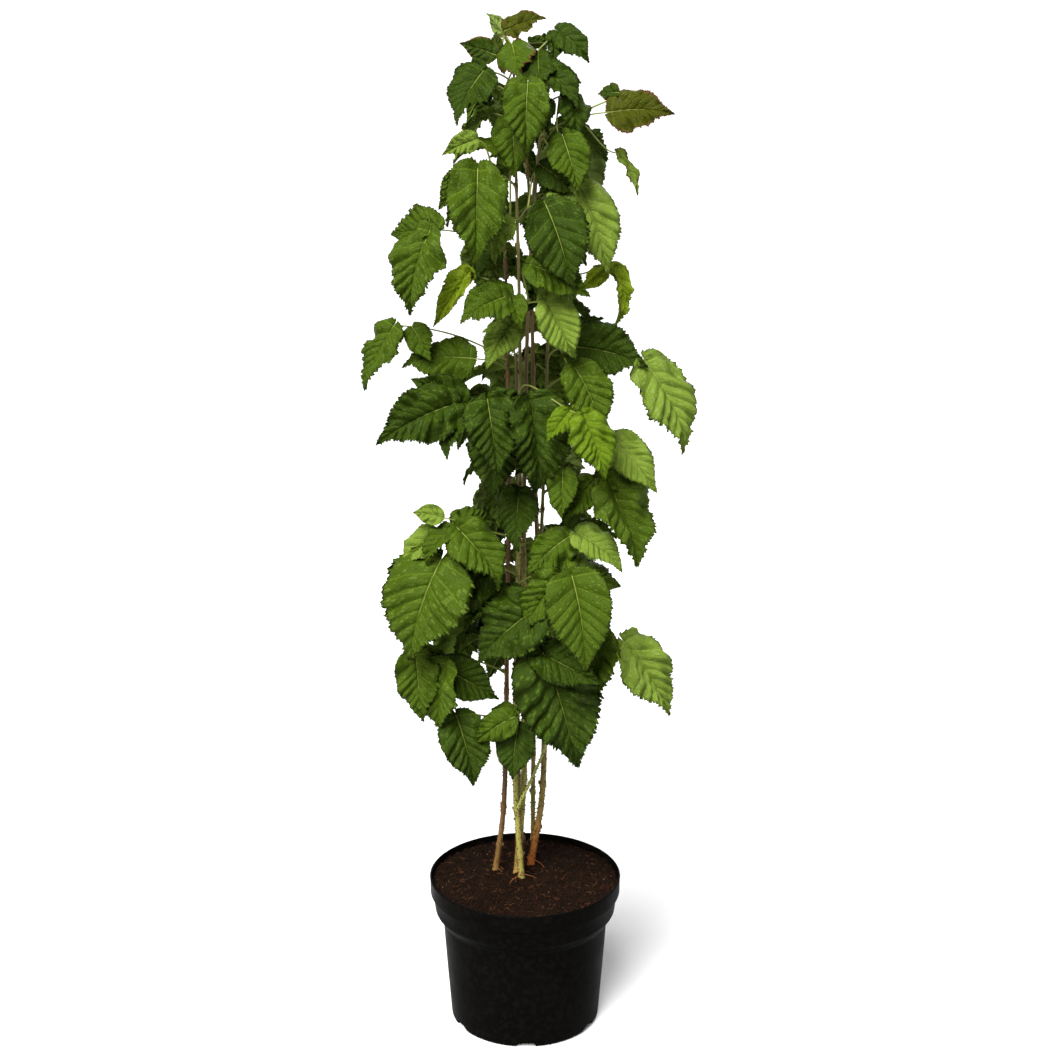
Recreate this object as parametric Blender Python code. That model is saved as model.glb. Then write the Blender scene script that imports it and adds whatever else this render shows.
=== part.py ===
# A raspberry plant about 1.2 m tall in a round nursery pot.
# Six bare canes rise from the compost in one bunch, and leafy side shoots stand off them all round.
# Metres, +Z up. The origin is the middle of the pot's flat underside, and the front faces -Y.

import math
import random

import bmesh
import bpy
from mathutils import Matrix, Vector
from mathutils.bvhtree import BVHTree

CM = 0.01
MM = 0.001
GAP = 0.3 * MM
SLIVER = 0.0002 * MM
UP = Vector((0, 0, 1))

# The pot, as diameters and heights
POT_HEIGHT = 18.6 * CM
POT_BASE_DIAMETER = 18.0 * CM
POT_BODY_TOP = 12.65 * CM
POT_BODY_TOP_DIAMETER = 19.8 * CM
POT_SHOULDER_TOP = 14.55 * CM
POT_SHOULDER_TOP_DIAMETER = 21.8 * CM
POT_LIP_BOTTOM = 16.4 * CM
POT_LIP_BOTTOM_DIAMETER = 22.2 * CM
POT_RIM_DIAMETER = 23.0 * CM
POT_WALL = 2.0 * MM
POT_FLOOR = 3.0 * MM
POT_CORNER_RADIUS = 6.0 * MM
POT_INNER_STEP = 1.5 * MM
POT_SIDES = 36
NOTCHES = 6
NOTCH_WIDTH = 26.0 * MM
NOTCH_HEIGHT = 8.0 * MM
NOTCH_DEPTH = 16.0 * MM

# The compost fills the pot to just below the rim
COMPOST_TOP = 17.8 * CM
COMPOST_SLIP = 0.8 * MM

# Canes: foot radius and tip radius in millimetres, then x, y and height in centimetres along each one
CANE_SIDES = 8
CANE_STEPS_PER_SPAN = 3
CANE_FLARE = 1.35
CANES = {
    "cane_front": (3.4, 1.5, [(-0.4, 0, 17.83), (-1.2, -0.6, 32), (-1.0, -0.8, 48), (-0.6, -0.6, 66),
                              (-0.6, -0.8, 86), (-1.0, -1.5, 104)]),
    "cane_centre": (4.0, 1.2, [(-1.0, 1.0, 17.83), (-0.1, 1.0, 32), (-0.1, 0.8, 48), (-0.1, 0.4, 66),
                               (0.3, 0.2, 86), (1.4, -0.1, 104), (3.0, -0.6, 117)]),
    "cane_right": (3.8, 1.2, [(0.7, 3.5, 17.83), (2.2, 2.2, 30), (2.0, 1.6, 48), (1.2, 1.4, 66),
                              (0.8, 1.3, 86), (0.2, 0.8, 104), (-1.9, 0.1, 117)]),
    "cane_back_right": (2.9, 1.4, [(1.0, 5.0, 17.83), (1.0, 3.6, 32), (1.4, 3.0, 48), (2.1, 2.5, 66),
                                   (2.6, 2.2, 84), (3.0, 2.4, 96)]),
    "cane_left": (3.3, 1.4, [(-3.6, 2.2, 17.83), (-2.5, 1.6, 28), (-2.1, 1.0, 48), (-1.9, 0.8, 66),
                             (-2.0, 0.9, 86), (-2.5, 1.2, 100)]),
    "cane_back": (2.8, 1.4, [(-0.4, 4.6, 17.83), (-0.8, 3.2, 32), (-0.9, 2.6, 48), (-0.9, 2.4, 66),
                             (-1.0, 3.0, 82)]),
}

# Side shoots of the front half. Each row is one compound leaf: where its end leaflet starts, as x, y
# and height in centimetres, then its heading and dip in degrees, its length in centimetres, and which
# side leaflets it has. A last number makes the end leaflet broader or narrower than the rest. A heading
# of -90 is towards the front.
FRONT_SHOOTS = {
    "leaves_left_large": [(-9.4, -6, 60.3, -140, -66, 12.3, "", 1.2), (-10, -4, 62.8, -160, -45, 5.5, "")],
    "leaves_low_big": [(2.0, -8, 50.0, -20, -74, 15, "r")],
    "leaves_right_pair": [(5.2, -9.5, 59.5, -55, -76, 11, "lr")],
    "leaves_far_right": [(13.2, -4, 82.7, -25, -61, 11.6, "", 0.86)],
    "leaves_left_shoulder": [(-5, -8, 104.2, -95, -73, 10.5, "l"), (-5.2, -6, 107, -160, -20, 4, "")],
    "leaves_left_hand": [(-10.2, -5, 97.3, -145, -72, 9.8, "l", 0.86)],
    "leaves_right_inner": [(2.2, -9, 100.5, -40, -68, 9.5, ""), (1.8, -4, 104, -25, -35, 5.5, "")],
    "leaves_left_broad": [(-7.7, -5, 78, -160, -22, 10, "lr"), (-4.1, -9, 79.5, -62, -74, 8.5, "r")],
    "leaves_centre_deep": [(0.5, -7, 79, -90, -83, 13, ""), (-2.6, -6, 76.5, -120, -76, 9, "")],
    "leaves_lower_right": [(9.2, -6, 69.6, -28, -67, 10.5, "lr", 1.12), (4.2, -7, 71, -85, -75, 5.5, "")],
    "leaves_low_right": [(11.2, -5, 50.2, -10, -57, 10.8, "", 0.86), (8.2, -5, 51.5, -70, -80, 8.5, "")],
    "leaves_right_arm": [(9.2, -3, 109.6, -15, 1, 6.9, "", 1.05), (10, -0.5, 105, -25, -60, 5.2, "", 0.55),
                         (10, -2.4, 111.6, 178, -4, 2.5, "", 1.2)],
    "leaves_right_light": [(5.8, -5, 101.8, -20, -68, 10, "l", 0.85)],
    "leaves_upper_front": [(0.3, -6.5, 113, -95, -72, 8, ""), (2.5, -4, 114, -40, -42, 5.5, "r")],
    "leaves_upper_left": [(-4.4, -4, 114, -135, -50, 6.8, "l", 1.15)],
    "leaves_upper_right": [(4.8, -4, 111.6, -75, -64, 5, "", 1.15), (4, -6, 107.4, -45, -62, 6.5, "", 1.1)],
    "leaves_tip_left": [(-2, -0.3, 118, -15, 20, 4.5, ""), (-2.2, 0.2, 117.5, 180, 50, 3, ""),
                        (-3.2, -1.6, 115.5, -165, 18, 4, "l"), (-1.4, -1.5, 116.6, -80, -40, 5, "", 1.2)],
    "leaves_tip_right": [(3.4, -1, 118, -30, -38, 5, "l"), (1.4, -2, 115.8, -65, -42, 5.5, "", 1.2)],
    "leaves_left_inner": [(-2.3, -5, 98.5, -110, -55, 5.5, ""), (-1.4, -4, 109, -85, -66, 6.5, "", 1.1)],
    "leaves_mid_left": [(-2.1, -8, 90.5, -140, -16, 6.5, "lr"), (-6.2, -3, 92, -165, -55, 7, "l", 0.6)],
    "leaves_mid_centre": [(2.3, -8, 90, -20, -63, 7, "r"), (0.5, -8, 94, -20, -24, 7.5, "")],
    "leaves_mid_pale": [(-1.5, -5.5, 87, -130, -45, 6, "l")],
    "leaves_right_small": [(10, -2, 92.5, -10, -85, 6.5, "lr", 0.5)],
    "leaves_right_wing": [(5.6, -3, 84, -5, -12, 8.5, "lr"), (5.4, -6, 82.4, -45, -58, 8.5, "")],
    "leaves_far_left": [(-14.5, -2, 86.2, -160, -60, 8, "r", 0.72)],
    "leaves_left_flat": [(-6, -2, 82.5, 178, -3, 8, "")],
    "leaves_right_yellow": [(6.3, -10, 78, -40, -65, 7.5, "lr"), (9.5, -5, 74, -32, -42, 8, "", 0.85)],
    "leaves_centre_small": [(5, -6, 63, -155, -34, 6.5, ""), (5.9, -6, 63.4, -30, -30, 6.8, "")],
    "leaves_left_middle": [(-7.6, -6, 64, -25, -48, 8.6, "lr", 1.15), (-9.3, -5.5, 65, 172, 8, 3.5, "")],
    "leaves_left_dark": [(-4.5, -4, 58.5, -150, -48, 8, "")],
    "leaves_centre_low": [(1.5, -8.5, 55.5, -163, -44, 10, "", 1.15)],
    "leaves_low_left": [(-12.6, -4, 48.2, -75, -73, 8, "r"), (-9.5, -4, 46.5, -10, -28, 7.5, ""),
                        (-9, -5, 47.6, -95, -80, 8.5, "")],
    "leaves_low_tail": [(-8, -5, 41.2, -35, -73, 9, "")],
    "leaves_low_centre": [(-1.3, -5.5, 41, -165, -30, 5.5, "l"), (-0.8, -4.5, 39.6, -115, -76, 6.5, "")],
}

# Side shoots of the back half follow one rule: they wind round the back as they climb, and reach a
# share of the crown's half width, which is given here by height in centimetres
CROWN_HALF_WIDTH = [(35, 7), (42, 10), (50, 13), (60, 13), (66, 9.5), (72, 10.5), (80, 14), (86, 8.5),
                    (94, 8.5), (100, 10.5), (108, 11), (114, 6), (118, 3)]
BACK_SHOOTS = 12
BACK_LOWEST = 41
BACK_HIGHEST = 112
BACK_HEADINGS = (52, 128, 90, 48, 134, 70, 110)
BACK_HUB_SHARE = 0.52
BACK_LEAF_SHARE = 0.72
BACK_SEED = 11

# Leaf rule
LEAF_WIDTH = 0.70
SIDE_LEAFLET_SHARE = 0.68
SIDE_LEAFLET_SPREAD = 66
SIDE_LEAFLET_START = 0.84
LEAF_BEND = 38
LEAF_FOLD = 17
LEAF_THICKNESS_SHARE = 0.014
LEAF_FACING_FRONT = 1.0
LEAF_FACING_UP = 0.45
LEAF_FACING_OUT = 0.35
LEAF_FACING_SHARE = 0.85
LEAF_OUTLINE = [(0.0, 0.035), (0.07, 0.36), (0.3, 0.5), (0.64, 0.37)]
TWIG_RADIUS = 1.5 * MM
TWIG_TIP_RADIUS = 1.0 * MM
TWIG_STEPS = 4
TWIG_SINK_SHARE = 0.05
CLEARANCE = 0.5 * MM
TURN_TRIES = (0, 12, -12, 24, -24, 38, -38)
DIP_TRIES = (0, -12, 12, -24, 24)
SIZE_TRIES = (1.0, 0.86, 0.72)

# Colours
POT_BLACK = (0.012, 0.012, 0.011)
COMPOST_BROWN = (0.045, 0.022, 0.013)
CANE_GREEN = (0.26, 0.27, 0.09)
LEAF_GREEN = (0.045, 0.13, 0.015)


def clear_scene():
    for item in list(bpy.data.objects):
        bpy.data.objects.remove(item)


def make_material(name, colour, roughness):
    material = bpy.data.materials.new(name)
    material.use_nodes = True
    shader = material.node_tree.nodes["Principled BSDF"]
    shader.inputs["Base Color"].default_value = (*colour, 1)
    shader.inputs["Roughness"].default_value = roughness
    shader.inputs["Metallic"].default_value = 0
    return material


def triangles(faces):
    # Fans every face out into triangles, so that none is bent
    return [(face[0], face[k], face[k + 1]) for face in faces for k in range(1, len(face) - 1)]


def add_object(name, verts, faces, material):
    mesh = bpy.data.meshes.new(name)
    mesh.from_pydata([tuple(v) for v in verts], [], triangles(faces))
    mesh.validate()
    item = bpy.data.objects.new(name, mesh)
    bpy.context.scene.collection.objects.link(item)
    mesh.materials.append(material)
    return item


# Pot and compost

def lathe(profile, sides):
    # Turns a profile of radius and height round the Z axis. It starts and ends on the axis.
    verts = []
    faces = []
    rings = profile[1:-1]
    for radius, height in rings:
        for i in range(sides):
            angle = math.tau * i / sides
            verts.append((radius * math.cos(angle), radius * math.sin(angle), height))
    for r in range(len(rings) - 1):
        low = r * sides
        high = low + sides
        for i in range(sides):
            j = (i + 1) % sides
            faces.append((low + i, low + j, high + j, high + i))
    faces.append(tuple(reversed(range(sides))))
    faces.append(tuple(range((len(rings) - 1) * sides, len(rings) * sides)))
    return verts, faces


def pot_profile():
    # From the middle of the underside out, up the outside, over the lip and down the inside
    base = POT_BASE_DIAMETER / 2
    corner = POT_CORNER_RADIUS
    outside = [(0, 0)]
    for step in range(4):
        angle = math.radians(-90 + 30 * step)
        outside.append((base - corner + corner * math.cos(angle), corner + corner * math.sin(angle)))
    body = POT_BODY_TOP_DIAMETER / 2
    shoulder = POT_SHOULDER_TOP_DIAMETER / 2
    lip = POT_LIP_BOTTOM_DIAMETER / 2
    rim = POT_RIM_DIAMETER / 2
    outside.append((body, POT_BODY_TOP))
    middle = POT_BODY_TOP + 0.35 * (POT_SHOULDER_TOP - POT_BODY_TOP)
    outside.append((body + 0.45 * (shoulder - body), middle))
    outside.append((shoulder, POT_SHOULDER_TOP))
    outside.append((lip, POT_LIP_BOTTOM))
    outside.append((rim - 0.8 * MM, POT_LIP_BOTTOM + 1.5 * MM))
    outside.append((rim, POT_HEIGHT - 1.0 * MM))
    outside.append((rim - 0.6 * MM, POT_HEIGHT))
    inside = [
        (rim - POT_WALL, POT_HEIGHT),
        (lip - POT_WALL, POT_LIP_BOTTOM),
        (shoulder - POT_WALL, POT_SHOULDER_TOP),
        (body - POT_WALL, POT_BODY_TOP + POT_INNER_STEP),
        (base - corner * 0.3 - POT_WALL, POT_FLOOR + NOTCH_HEIGHT + 2 * MM),
        (base - corner - NOTCH_DEPTH, POT_FLOOR + NOTCH_HEIGHT + 1 * MM),
        (base - corner - NOTCH_DEPTH - 6 * MM, POT_FLOOR),
        (0, POT_FLOOR),
    ]
    return outside + inside


def notch_cutter():
    # Six rounded blocks stand round the bottom corner, all in one mesh
    verts = []
    faces = []
    reach = NOTCH_DEPTH + 20 * MM
    start = POT_BASE_DIAMETER / 2 - NOTCH_DEPTH
    arch = [(-0.5, -1.0), (0.5, -1.0), (0.5, 0.35), (0.36, 0.85), (0.2, 1.0),
            (-0.2, 1.0), (-0.36, 0.85), (-0.5, 0.35)]
    for n in range(NOTCHES):
        turn = Matrix.Rotation(math.tau * n / NOTCHES - math.pi / 2, 4, "Z")
        first = len(verts)
        for out in (start, start + reach):
            for across, height in arch:
                verts.append(turn @ Vector((out, across * NOTCH_WIDTH, height * NOTCH_HEIGHT)))
        count = len(arch)
        faces.append([first + i for i in reversed(range(count))])
        faces.append([first + count + i for i in range(count)])
        for i in range(count):
            j = (i + 1) % count
            faces.append((first + i, first + j, first + count + j, first + count + i))
    return verts, faces


def build_pot(material):
    verts, faces = lathe(pot_profile(), POT_SIDES)
    pot = add_object("pot", verts, faces, material)
    verts, faces = notch_cutter()
    cutter = add_object("notch_cutter", verts, faces, material)
    fuse(pot, [cutter], "DIFFERENCE")
    return pot


def build_compost(material):
    floor = POT_FLOOR + NOTCH_HEIGHT + 3 * MM
    base = POT_BASE_DIAMETER / 2 - 8 * MM
    body = POT_BODY_TOP_DIAMETER / 2
    shoulder = POT_SHOULDER_TOP_DIAMETER / 2
    lip = POT_LIP_BOTTOM_DIAMETER / 2
    rim = POT_RIM_DIAMETER / 2
    slip = POT_WALL + COMPOST_SLIP
    top = lip + (rim - lip) * (COMPOST_TOP - POT_LIP_BOTTOM) / (POT_HEIGHT - POT_LIP_BOTTOM)
    step = POT_BODY_TOP + POT_INNER_STEP + COMPOST_SLIP
    profile = [(0, floor), (base - slip, floor), (body - slip, step), (shoulder - slip, POT_SHOULDER_TOP),
               (lip - slip, POT_LIP_BOTTOM), (top - slip, COMPOST_TOP), (0, COMPOST_TOP)]
    verts, faces = lathe(profile, POT_SIDES)
    return add_object("compost", verts, faces, material)


# Tubes and canes

def tube(points, radii, sides, first_normal=None):
    # A closed tube through the points. The first ring can be turned to lie across another direction.
    verts = []
    faces = []
    count = len(points)
    across = None
    for k in range(count):
        ahead = points[min(k + 1, count - 1)] - points[max(k - 1, 0)]
        along = ahead.normalized()
        if k == 0 and first_normal is not None:
            along = first_normal.normalized()
        if across is None:
            across = along.orthogonal().normalized()
        across = (across - along * across.dot(along)).normalized()
        beside = along.cross(across)
        for i in range(sides):
            angle = math.tau * i / sides
            verts.append(points[k] + radii[k] * (math.cos(angle) * across + math.sin(angle) * beside))
    for k in range(count - 1):
        for i in range(sides):
            j = (i + 1) % sides
            faces.append((k * sides + i, k * sides + j, (k + 1) * sides + j, (k + 1) * sides + i))
    faces.append(tuple(reversed(range(sides))))
    faces.append(tuple(range((count - 1) * sides, count * sides)))
    return verts, faces


def smooth_route(stations, steps):
    # A Catmull-Rom curve through the stations
    first = 2 * stations[0] - stations[1]
    last = 2 * stations[-1] - stations[-2]
    line = [first, *stations, last]
    route = []
    for k in range(1, len(line) - 2):
        a, b, c, d = line[k - 1:k + 3]
        for step in range(steps):
            t = step / steps
            route.append(0.5 * (2 * b + (c - a) * t + (2 * a - 5 * b + 4 * c - d) * t * t
                                + (3 * b - a - 3 * c + d) * t * t * t))
    route.append(stations[-1])
    return route


def cane_route(name, steps):
    foot_radius, tip_radius, stations = CANES[name]
    route = smooth_route([Vector(s) * CM for s in stations], steps)
    foot = route[0].z
    tip = route[-1].z
    radii = []
    for point in route:
        share = (point.z - foot) / (tip - foot)
        radius = (foot_radius + (tip_radius - foot_radius) * share) * MM
        radii.append(radius)
    radii[0] *= CANE_FLARE
    return route, radii


def cane_at(route, radii, height):
    # The middle of a cane and its radius at a height
    for k in range(len(route) - 1):
        low, high = route[k], route[k + 1]
        if low.z <= height <= high.z:
            t = (height - low.z) / (high.z - low.z)
            return low.lerp(high, t), radii[k] + (radii[k + 1] - radii[k]) * t
    return None


# Leaf rule

def direction(heading, dip):
    a, b = math.radians(heading), math.radians(dip)
    return Vector((math.cos(a) * math.cos(b), math.sin(a) * math.cos(b), math.sin(b)))


def leaflet(base, heading, dip, length, width, twist, bend):
    return {"base": base, "heading": heading, "dip": dip, "length": length, "width": width,
            "twist": twist, "bend": bend}


def leaflet_frame(leaf, share):
    # A point on the midrib, the way it runs there, the upper side's normal and the way across
    bend = math.radians(leaf["bend"])
    chord_dip = math.radians(leaf["dip"])
    arc = leaf["length"] * (bend / 2) / math.sin(bend / 2) if bend else leaf["length"]
    start = chord_dip + bend / 2
    pitch = start - bend * share
    if bend:
        out = arc / bend * (math.sin(start) - math.sin(pitch))
        rise = arc / bend * (math.cos(pitch) - math.cos(start))
    else:
        out = arc * share * math.cos(start)
        rise = arc * share * math.sin(start)
    heading = math.radians(leaf["heading"])
    ahead = Vector((math.cos(heading), math.sin(heading), 0))
    point = leaf["base"] + ahead * out + UP * rise
    along = ahead * math.cos(pitch) + UP * math.sin(pitch)
    normal = UP * math.cos(pitch) - ahead * math.sin(pitch)
    normal = Matrix.Rotation(math.radians(leaf["twist"]), 3, along) @ normal
    return point, along, normal, normal.cross(along)


def leaflet_solid(leaf, extra=0.0, outline=LEAF_OUTLINE):
    # A thin folded blade with sharp edges, thickest along its midrib
    half = leaf["length"] * LEAF_THICKNESS_SHARE / 2 + extra
    fold = math.radians(LEAF_FOLD)
    verts = []
    for share, width in outline:
        point, along, normal, across = leaflet_frame(leaf, share)
        reach = leaf["width"] * width + extra
        lift = normal * reach * math.sin(fold)
        verts.append(point + normal * half)
        verts.append(point - normal * half)
        verts.append(point + across * reach * math.cos(fold) + lift)
        verts.append(point - across * reach * math.cos(fold) + lift)
    tip = len(verts)
    verts.append(leaflet_frame(leaf, 1.0)[0])
    faces = [(0, 1, 2), (1, 0, 3)]
    top, under, left, right = range(4)
    for k in range(len(outline) - 1):
        a, b = 4 * k, 4 * k + 4
        faces += [(a + top, a + left, b + left, b + top), (a + right, a + top, b + top, b + right)]
        faces += [(a + left, a + under, b + under, b + left), (a + under, a + right, b + right, b + under)]
    a = 4 * (len(outline) - 1)
    faces += [(a + top, a + left, tip), (a + right, a + top, tip)]
    faces += [(a + left, a + under, tip), (a + under, a + right, tip)]
    return verts, faces


def face_light(leaf, jitter):
    # Twists a leaflet about its midrib so that its upper side looks up and away from the canes
    leaf["twist"] = 0
    along, normal = leaflet_frame(leaf, 0.3)[1:3]
    out = Vector((leaf["base"].x, leaf["base"].y, 0)).normalized() * LEAF_FACING_OUT
    front = -1 if leaf["base"].y < 0 else 1
    wanted = Vector((0, LEAF_FACING_FRONT * front, LEAF_FACING_UP)) + out
    wanted -= along * wanted.dot(along)
    turn = math.atan2(normal.cross(wanted).dot(along), normal.dot(wanted))
    leaf["twist"] = math.degrees(turn) * LEAF_FACING_SHARE + jitter
    leaf["bend"] *= 1 - 0.6 * abs(math.sin(turn))
    return leaf


def side_leaflets(leaf, petiole, sides, rng):
    # Smaller leaflets stand off the petiole just before the end one, and droop
    out = []
    along, normal, across = leaflet_frame(leaf, 0.3)[1:]
    start = curve_point(petiole, SIDE_LEAFLET_START)
    for side in ("l", "r"):
        spread = math.radians(SIDE_LEAFLET_SPREAD + rng.uniform(-14, 14))
        share = SIDE_LEAFLET_SHARE * rng.uniform(0.86, 1.12)
        twist = rng.uniform(-16, 16)
        droop = rng.uniform(0.1, 0.35)
        if side not in sides:
            continue
        sign = -1 if side == "l" else 1
        way = along * math.cos(spread) + across * sign * math.sin(spread) - UP * droop
        way.normalize()
        heading = math.degrees(math.atan2(way.y, way.x))
        dip = math.degrees(math.asin(way.z))
        length = leaf["length"] * share
        bend = LEAF_BEND * rng.uniform(0.5, 1.1)
        out.append(face_light(leaflet(start, heading, dip, length, length * LEAF_WIDTH * 0.92, 0, bend), twist))
    return out


def curve_point(curve, t):
    a, b, c, d = curve
    s = 1 - t
    return s * s * s * a + 3 * s * s * t * b + 3 * s * t * t * c + t * t * t * d


def petiole_curve(start, way, hub, heading, rise):
    reach = (hub - start).length
    end_way = direction(heading, 12)
    return (start, start + way * reach * 0.30 + UP * reach * rise,
            hub - end_way * reach * 0.32 + UP * reach * 0.04, hub)


def twig_solid(curve, first_normal, sink=None, extra=0.0):
    # A three-sided twig along the curve, which can run on to a point inside its leaflet
    points = [curve_point(curve, k / TWIG_STEPS) for k in range(TWIG_STEPS + 1)]
    if sink:
        points.append(sink)
    last = len(points) - 1
    radii = [TWIG_RADIUS + (TWIG_TIP_RADIUS - TWIG_RADIUS) * k / last + extra for k in range(last + 1)]
    return tube(points, radii, 3, first_normal)


def tree_of(solid):
    verts, faces = solid
    return BVHTree.FromPolygons([tuple(v) for v in verts], triangles(faces))


def is_clear(solid, placed):
    tree = tree_of(solid)
    return not any(tree.overlap(other) for other in placed)


# Laying out the side shoots

def stem_tries(hub, canes):
    # Ways to leave a cane for a leaf: nearest cane first, then lower or higher, then turned aside
    near = sorted(canes.values(), key=lambda cane: cane_distance(cane, hub))
    for turn in (0, 35, -35, 70, -70):
        for drop in (0.35, 0.6, 0.15, 0.85, 0.0):
            for route, radii in near:
                middle = cane_at(route, radii, min(hub.z, route[-1].z - 2 * MM))
                reach = math.hypot(hub.x - middle[0].x, hub.y - middle[0].y)
                height = min(hub.z - drop * reach, route[-1].z - 4 * MM)
                found = cane_at(route, radii, height)
                if found is None:
                    continue
                centre, radius = found
                flat = Vector((hub.x - centre.x, hub.y - centre.y, 0)).normalized()
                way = Matrix.Rotation(math.radians(turn), 3, "Z") @ flat
                yield centre + way * (radius + GAP), way


def cane_distance(cane, hub):
    route, radii = cane
    found = cane_at(route, radii, min(hub.z, route[-1].z - 2 * MM))
    return (hub - found[0]).length if found else 1.0


def place_petiole(hub, heading, canes, placed, roots):
    # The first way to the leaf that touches nothing. Later leaves of a shoot branch from its stem.
    if roots:
        stem = roots[0]
        for t in (0.5, 0.65, 0.35, 0.8, 0.2, 0.93):
            start = curve_point(stem, t)
            way = (hub - start).normalized()
            for rise in (0.12, 0.3, 0.0):
                curve = petiole_curve(start, way, hub, heading, rise)
                if is_clear(twig_solid(curve, None, None, CLEARANCE), placed):
                    return curve, None
        return None, None
    for start, way in stem_tries(hub, canes):
        for rise in (0.22, 0.38, 0.06):
            curve = petiole_curve(start, way, hub, heading, rise)
            off = way * CLEARANCE
            test = tuple(p + off for p in curve[:1]) + curve[1:]
            if is_clear(twig_solid(test, way, None, GAP), placed):
                return curve, way
    return None, None


def place_leaflet(leaf, placed, own):
    # Turns, tips or shrinks a leaflet until it touches nothing, or gives it up. The narrow neck may
    # touch the other leaflets of its own shoot.
    for size in SIZE_TRIES:
        for dip in DIP_TRIES:
            for turn in TURN_TRIES:
                trial = dict(leaf)
                trial["heading"] += turn
                trial["dip"] = max(-88, min(80, trial["dip"] + dip))
                trial["length"] *= size
                trial["width"] *= size
                blade = leaflet_solid(trial, CLEARANCE, LEAF_OUTLINE[1:])
                if is_clear(leaflet_solid(trial, CLEARANCE), placed) and is_clear(blade, own):
                    own.append(tree_of(blade))
                    return trial
    return None


def plan_shoot(rows, seed, canes, placed):
    # One side shoot: its twigs and leaflets, each clear of every cane and every earlier shoot
    rng = random.Random(seed)
    leaves = []
    roots = []
    own = []
    for x, y, z, heading, dip, length, sides, *breadth in rows:
        hub = Vector((x, y, z)) * CM
        width = LEAF_WIDTH * rng.uniform(0.92, 1.08) * (breadth[0] if breadth else 1)
        twist = rng.uniform(-14, 14)
        bend = LEAF_BEND * rng.uniform(0.6, 1.2)
        curve, way = place_petiole(hub, heading, canes, placed, roots)
        if curve is None:
            continue
        end = face_light(leaflet(hub, heading, dip, length * CM, length * CM * width, 0, bend), twist)
        beside = side_leaflets(end, curve, sides, rng)
        end = place_leaflet(end, placed, own)
        if end is None:
            continue
        kept = [leaf for leaf in (place_leaflet(one, placed, own) for one in beside) if leaf]
        roots.append(curve)
        leaves.append({"curve": curve, "way": way, "end": end, "beside": kept})
    return leaves


def shoot_solids(leaves):
    # The closed pieces of one side shoot, stem first: each petiole runs on into its end leaflet
    solids = []
    for leaf in leaves:
        inner = leaflet_frame(leaf["end"], TWIG_SINK_SHARE)[0]
        solids.append(twig_solid(leaf["curve"], leaf["way"], inner))
        solids.append(leaflet_solid(leaf["end"]))
        solids += [leaflet_solid(side) for side in leaf["beside"]]
    return solids


def crown_half_width(height):
    for (low, a), (high, b) in zip(CROWN_HALF_WIDTH, CROWN_HALF_WIDTH[1:]):
        if height <= high:
            return a + (b - a) * max(0, height - low) / (high - low)
    return CROWN_HALF_WIDTH[-1][1]


def back_shoots():
    # Rows for the back half, in the same form as those of the front
    rng = random.Random(BACK_SEED)
    shoots = {}
    for n in range(BACK_SHOOTS):
        share = n / (BACK_SHOOTS - 1)
        height = BACK_LOWEST + (BACK_HIGHEST - BACK_LOWEST) * share
        rows = []
        for k in range(2):
            heading = BACK_HEADINGS[(n + 3 * k) % len(BACK_HEADINGS)] + rng.uniform(-14, 14)
            z = height + (rng.uniform(1, 5) if k else 0)
            half = crown_half_width(z)
            out = half * BACK_HUB_SHARE * rng.uniform(0.8, 1.25)
            x = out * math.cos(math.radians(heading))
            y = out * math.sin(math.radians(heading))
            length = half * BACK_LEAF_SHARE * rng.uniform(0.85, 1.15)
            dip = -66 + 30 * share * rng.uniform(0.3, 1.3)
            rows.append((x, y + 1.0, z, heading, dip, length, "lr" if k == 0 else rng.choice(("l", "r"))))
        shoots["leaves_back_%02d" % (n + 1)] = rows
    return shoots


def plan_crown(canes):
    placed = [tree_of(tube(route, radii, CANE_SIDES)) for route, radii in canes.values()]
    crown = {}
    shoots = {**FRONT_SHOOTS, **back_shoots()}
    for seed, (name, rows) in enumerate(shoots.items()):
        leaves = plan_shoot(rows, seed, canes, placed)
        if leaves:
            crown[name] = leaves
            placed += [tree_of(solid) for solid in shoot_solids(leaves)]
    return crown


# Fusing

def fuse(item, others, operation, solver="EXACT"):
    # One Boolean with a collection of objects, applied, and the objects removed after it
    group = bpy.data.collections.new("operands")
    for other in others:
        group.objects.link(other)
    modifier = item.modifiers.new("fuse", "BOOLEAN")
    modifier.operation = operation
    modifier.solver = solver
    modifier.operand_type = "COLLECTION"
    modifier.collection = group
    graph = bpy.context.evaluated_depsgraph_get()
    graph.update()
    result = bpy.data.meshes.new_from_object(item.evaluated_get(graph))
    item.modifiers.remove(modifier)
    item.data = result
    for other in others:
        bpy.data.objects.remove(other)
    bpy.data.collections.remove(group)


def keep_outer_shell(item):
    # Drops loose scraps, and fills hollows that the fusing sealed, by keeping the largest shell only
    mesh = bmesh.new()
    mesh.from_mesh(item.data)
    bmesh.ops.triangulate(mesh, faces=mesh.faces)
    bmesh.ops.dissolve_degenerate(mesh, edges=mesh.edges, dist=SLIVER)
    bmesh.ops.triangulate(mesh, faces=mesh.faces)
    groups = []
    left = set(mesh.faces)
    while left:
        start = left.pop()
        group = {start}
        front = [start]
        while front:
            face = front.pop()
            for edge in face.edges:
                for other in edge.link_faces:
                    if other in left:
                        left.remove(other)
                        group.add(other)
                        front.append(other)
        groups.append(group)
    groups.sort(key=len)
    for group in groups[:-1]:
        bmesh.ops.delete(mesh, geom=list(group), context="FACES")
    whole = all(len(edge.link_faces) == 2 and edge.calc_length() > SLIVER for edge in mesh.edges)
    whole = whole and mesh.calc_volume(signed=True) > 0
    mesh.to_mesh(item.data)
    mesh.free()
    return whole


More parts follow.
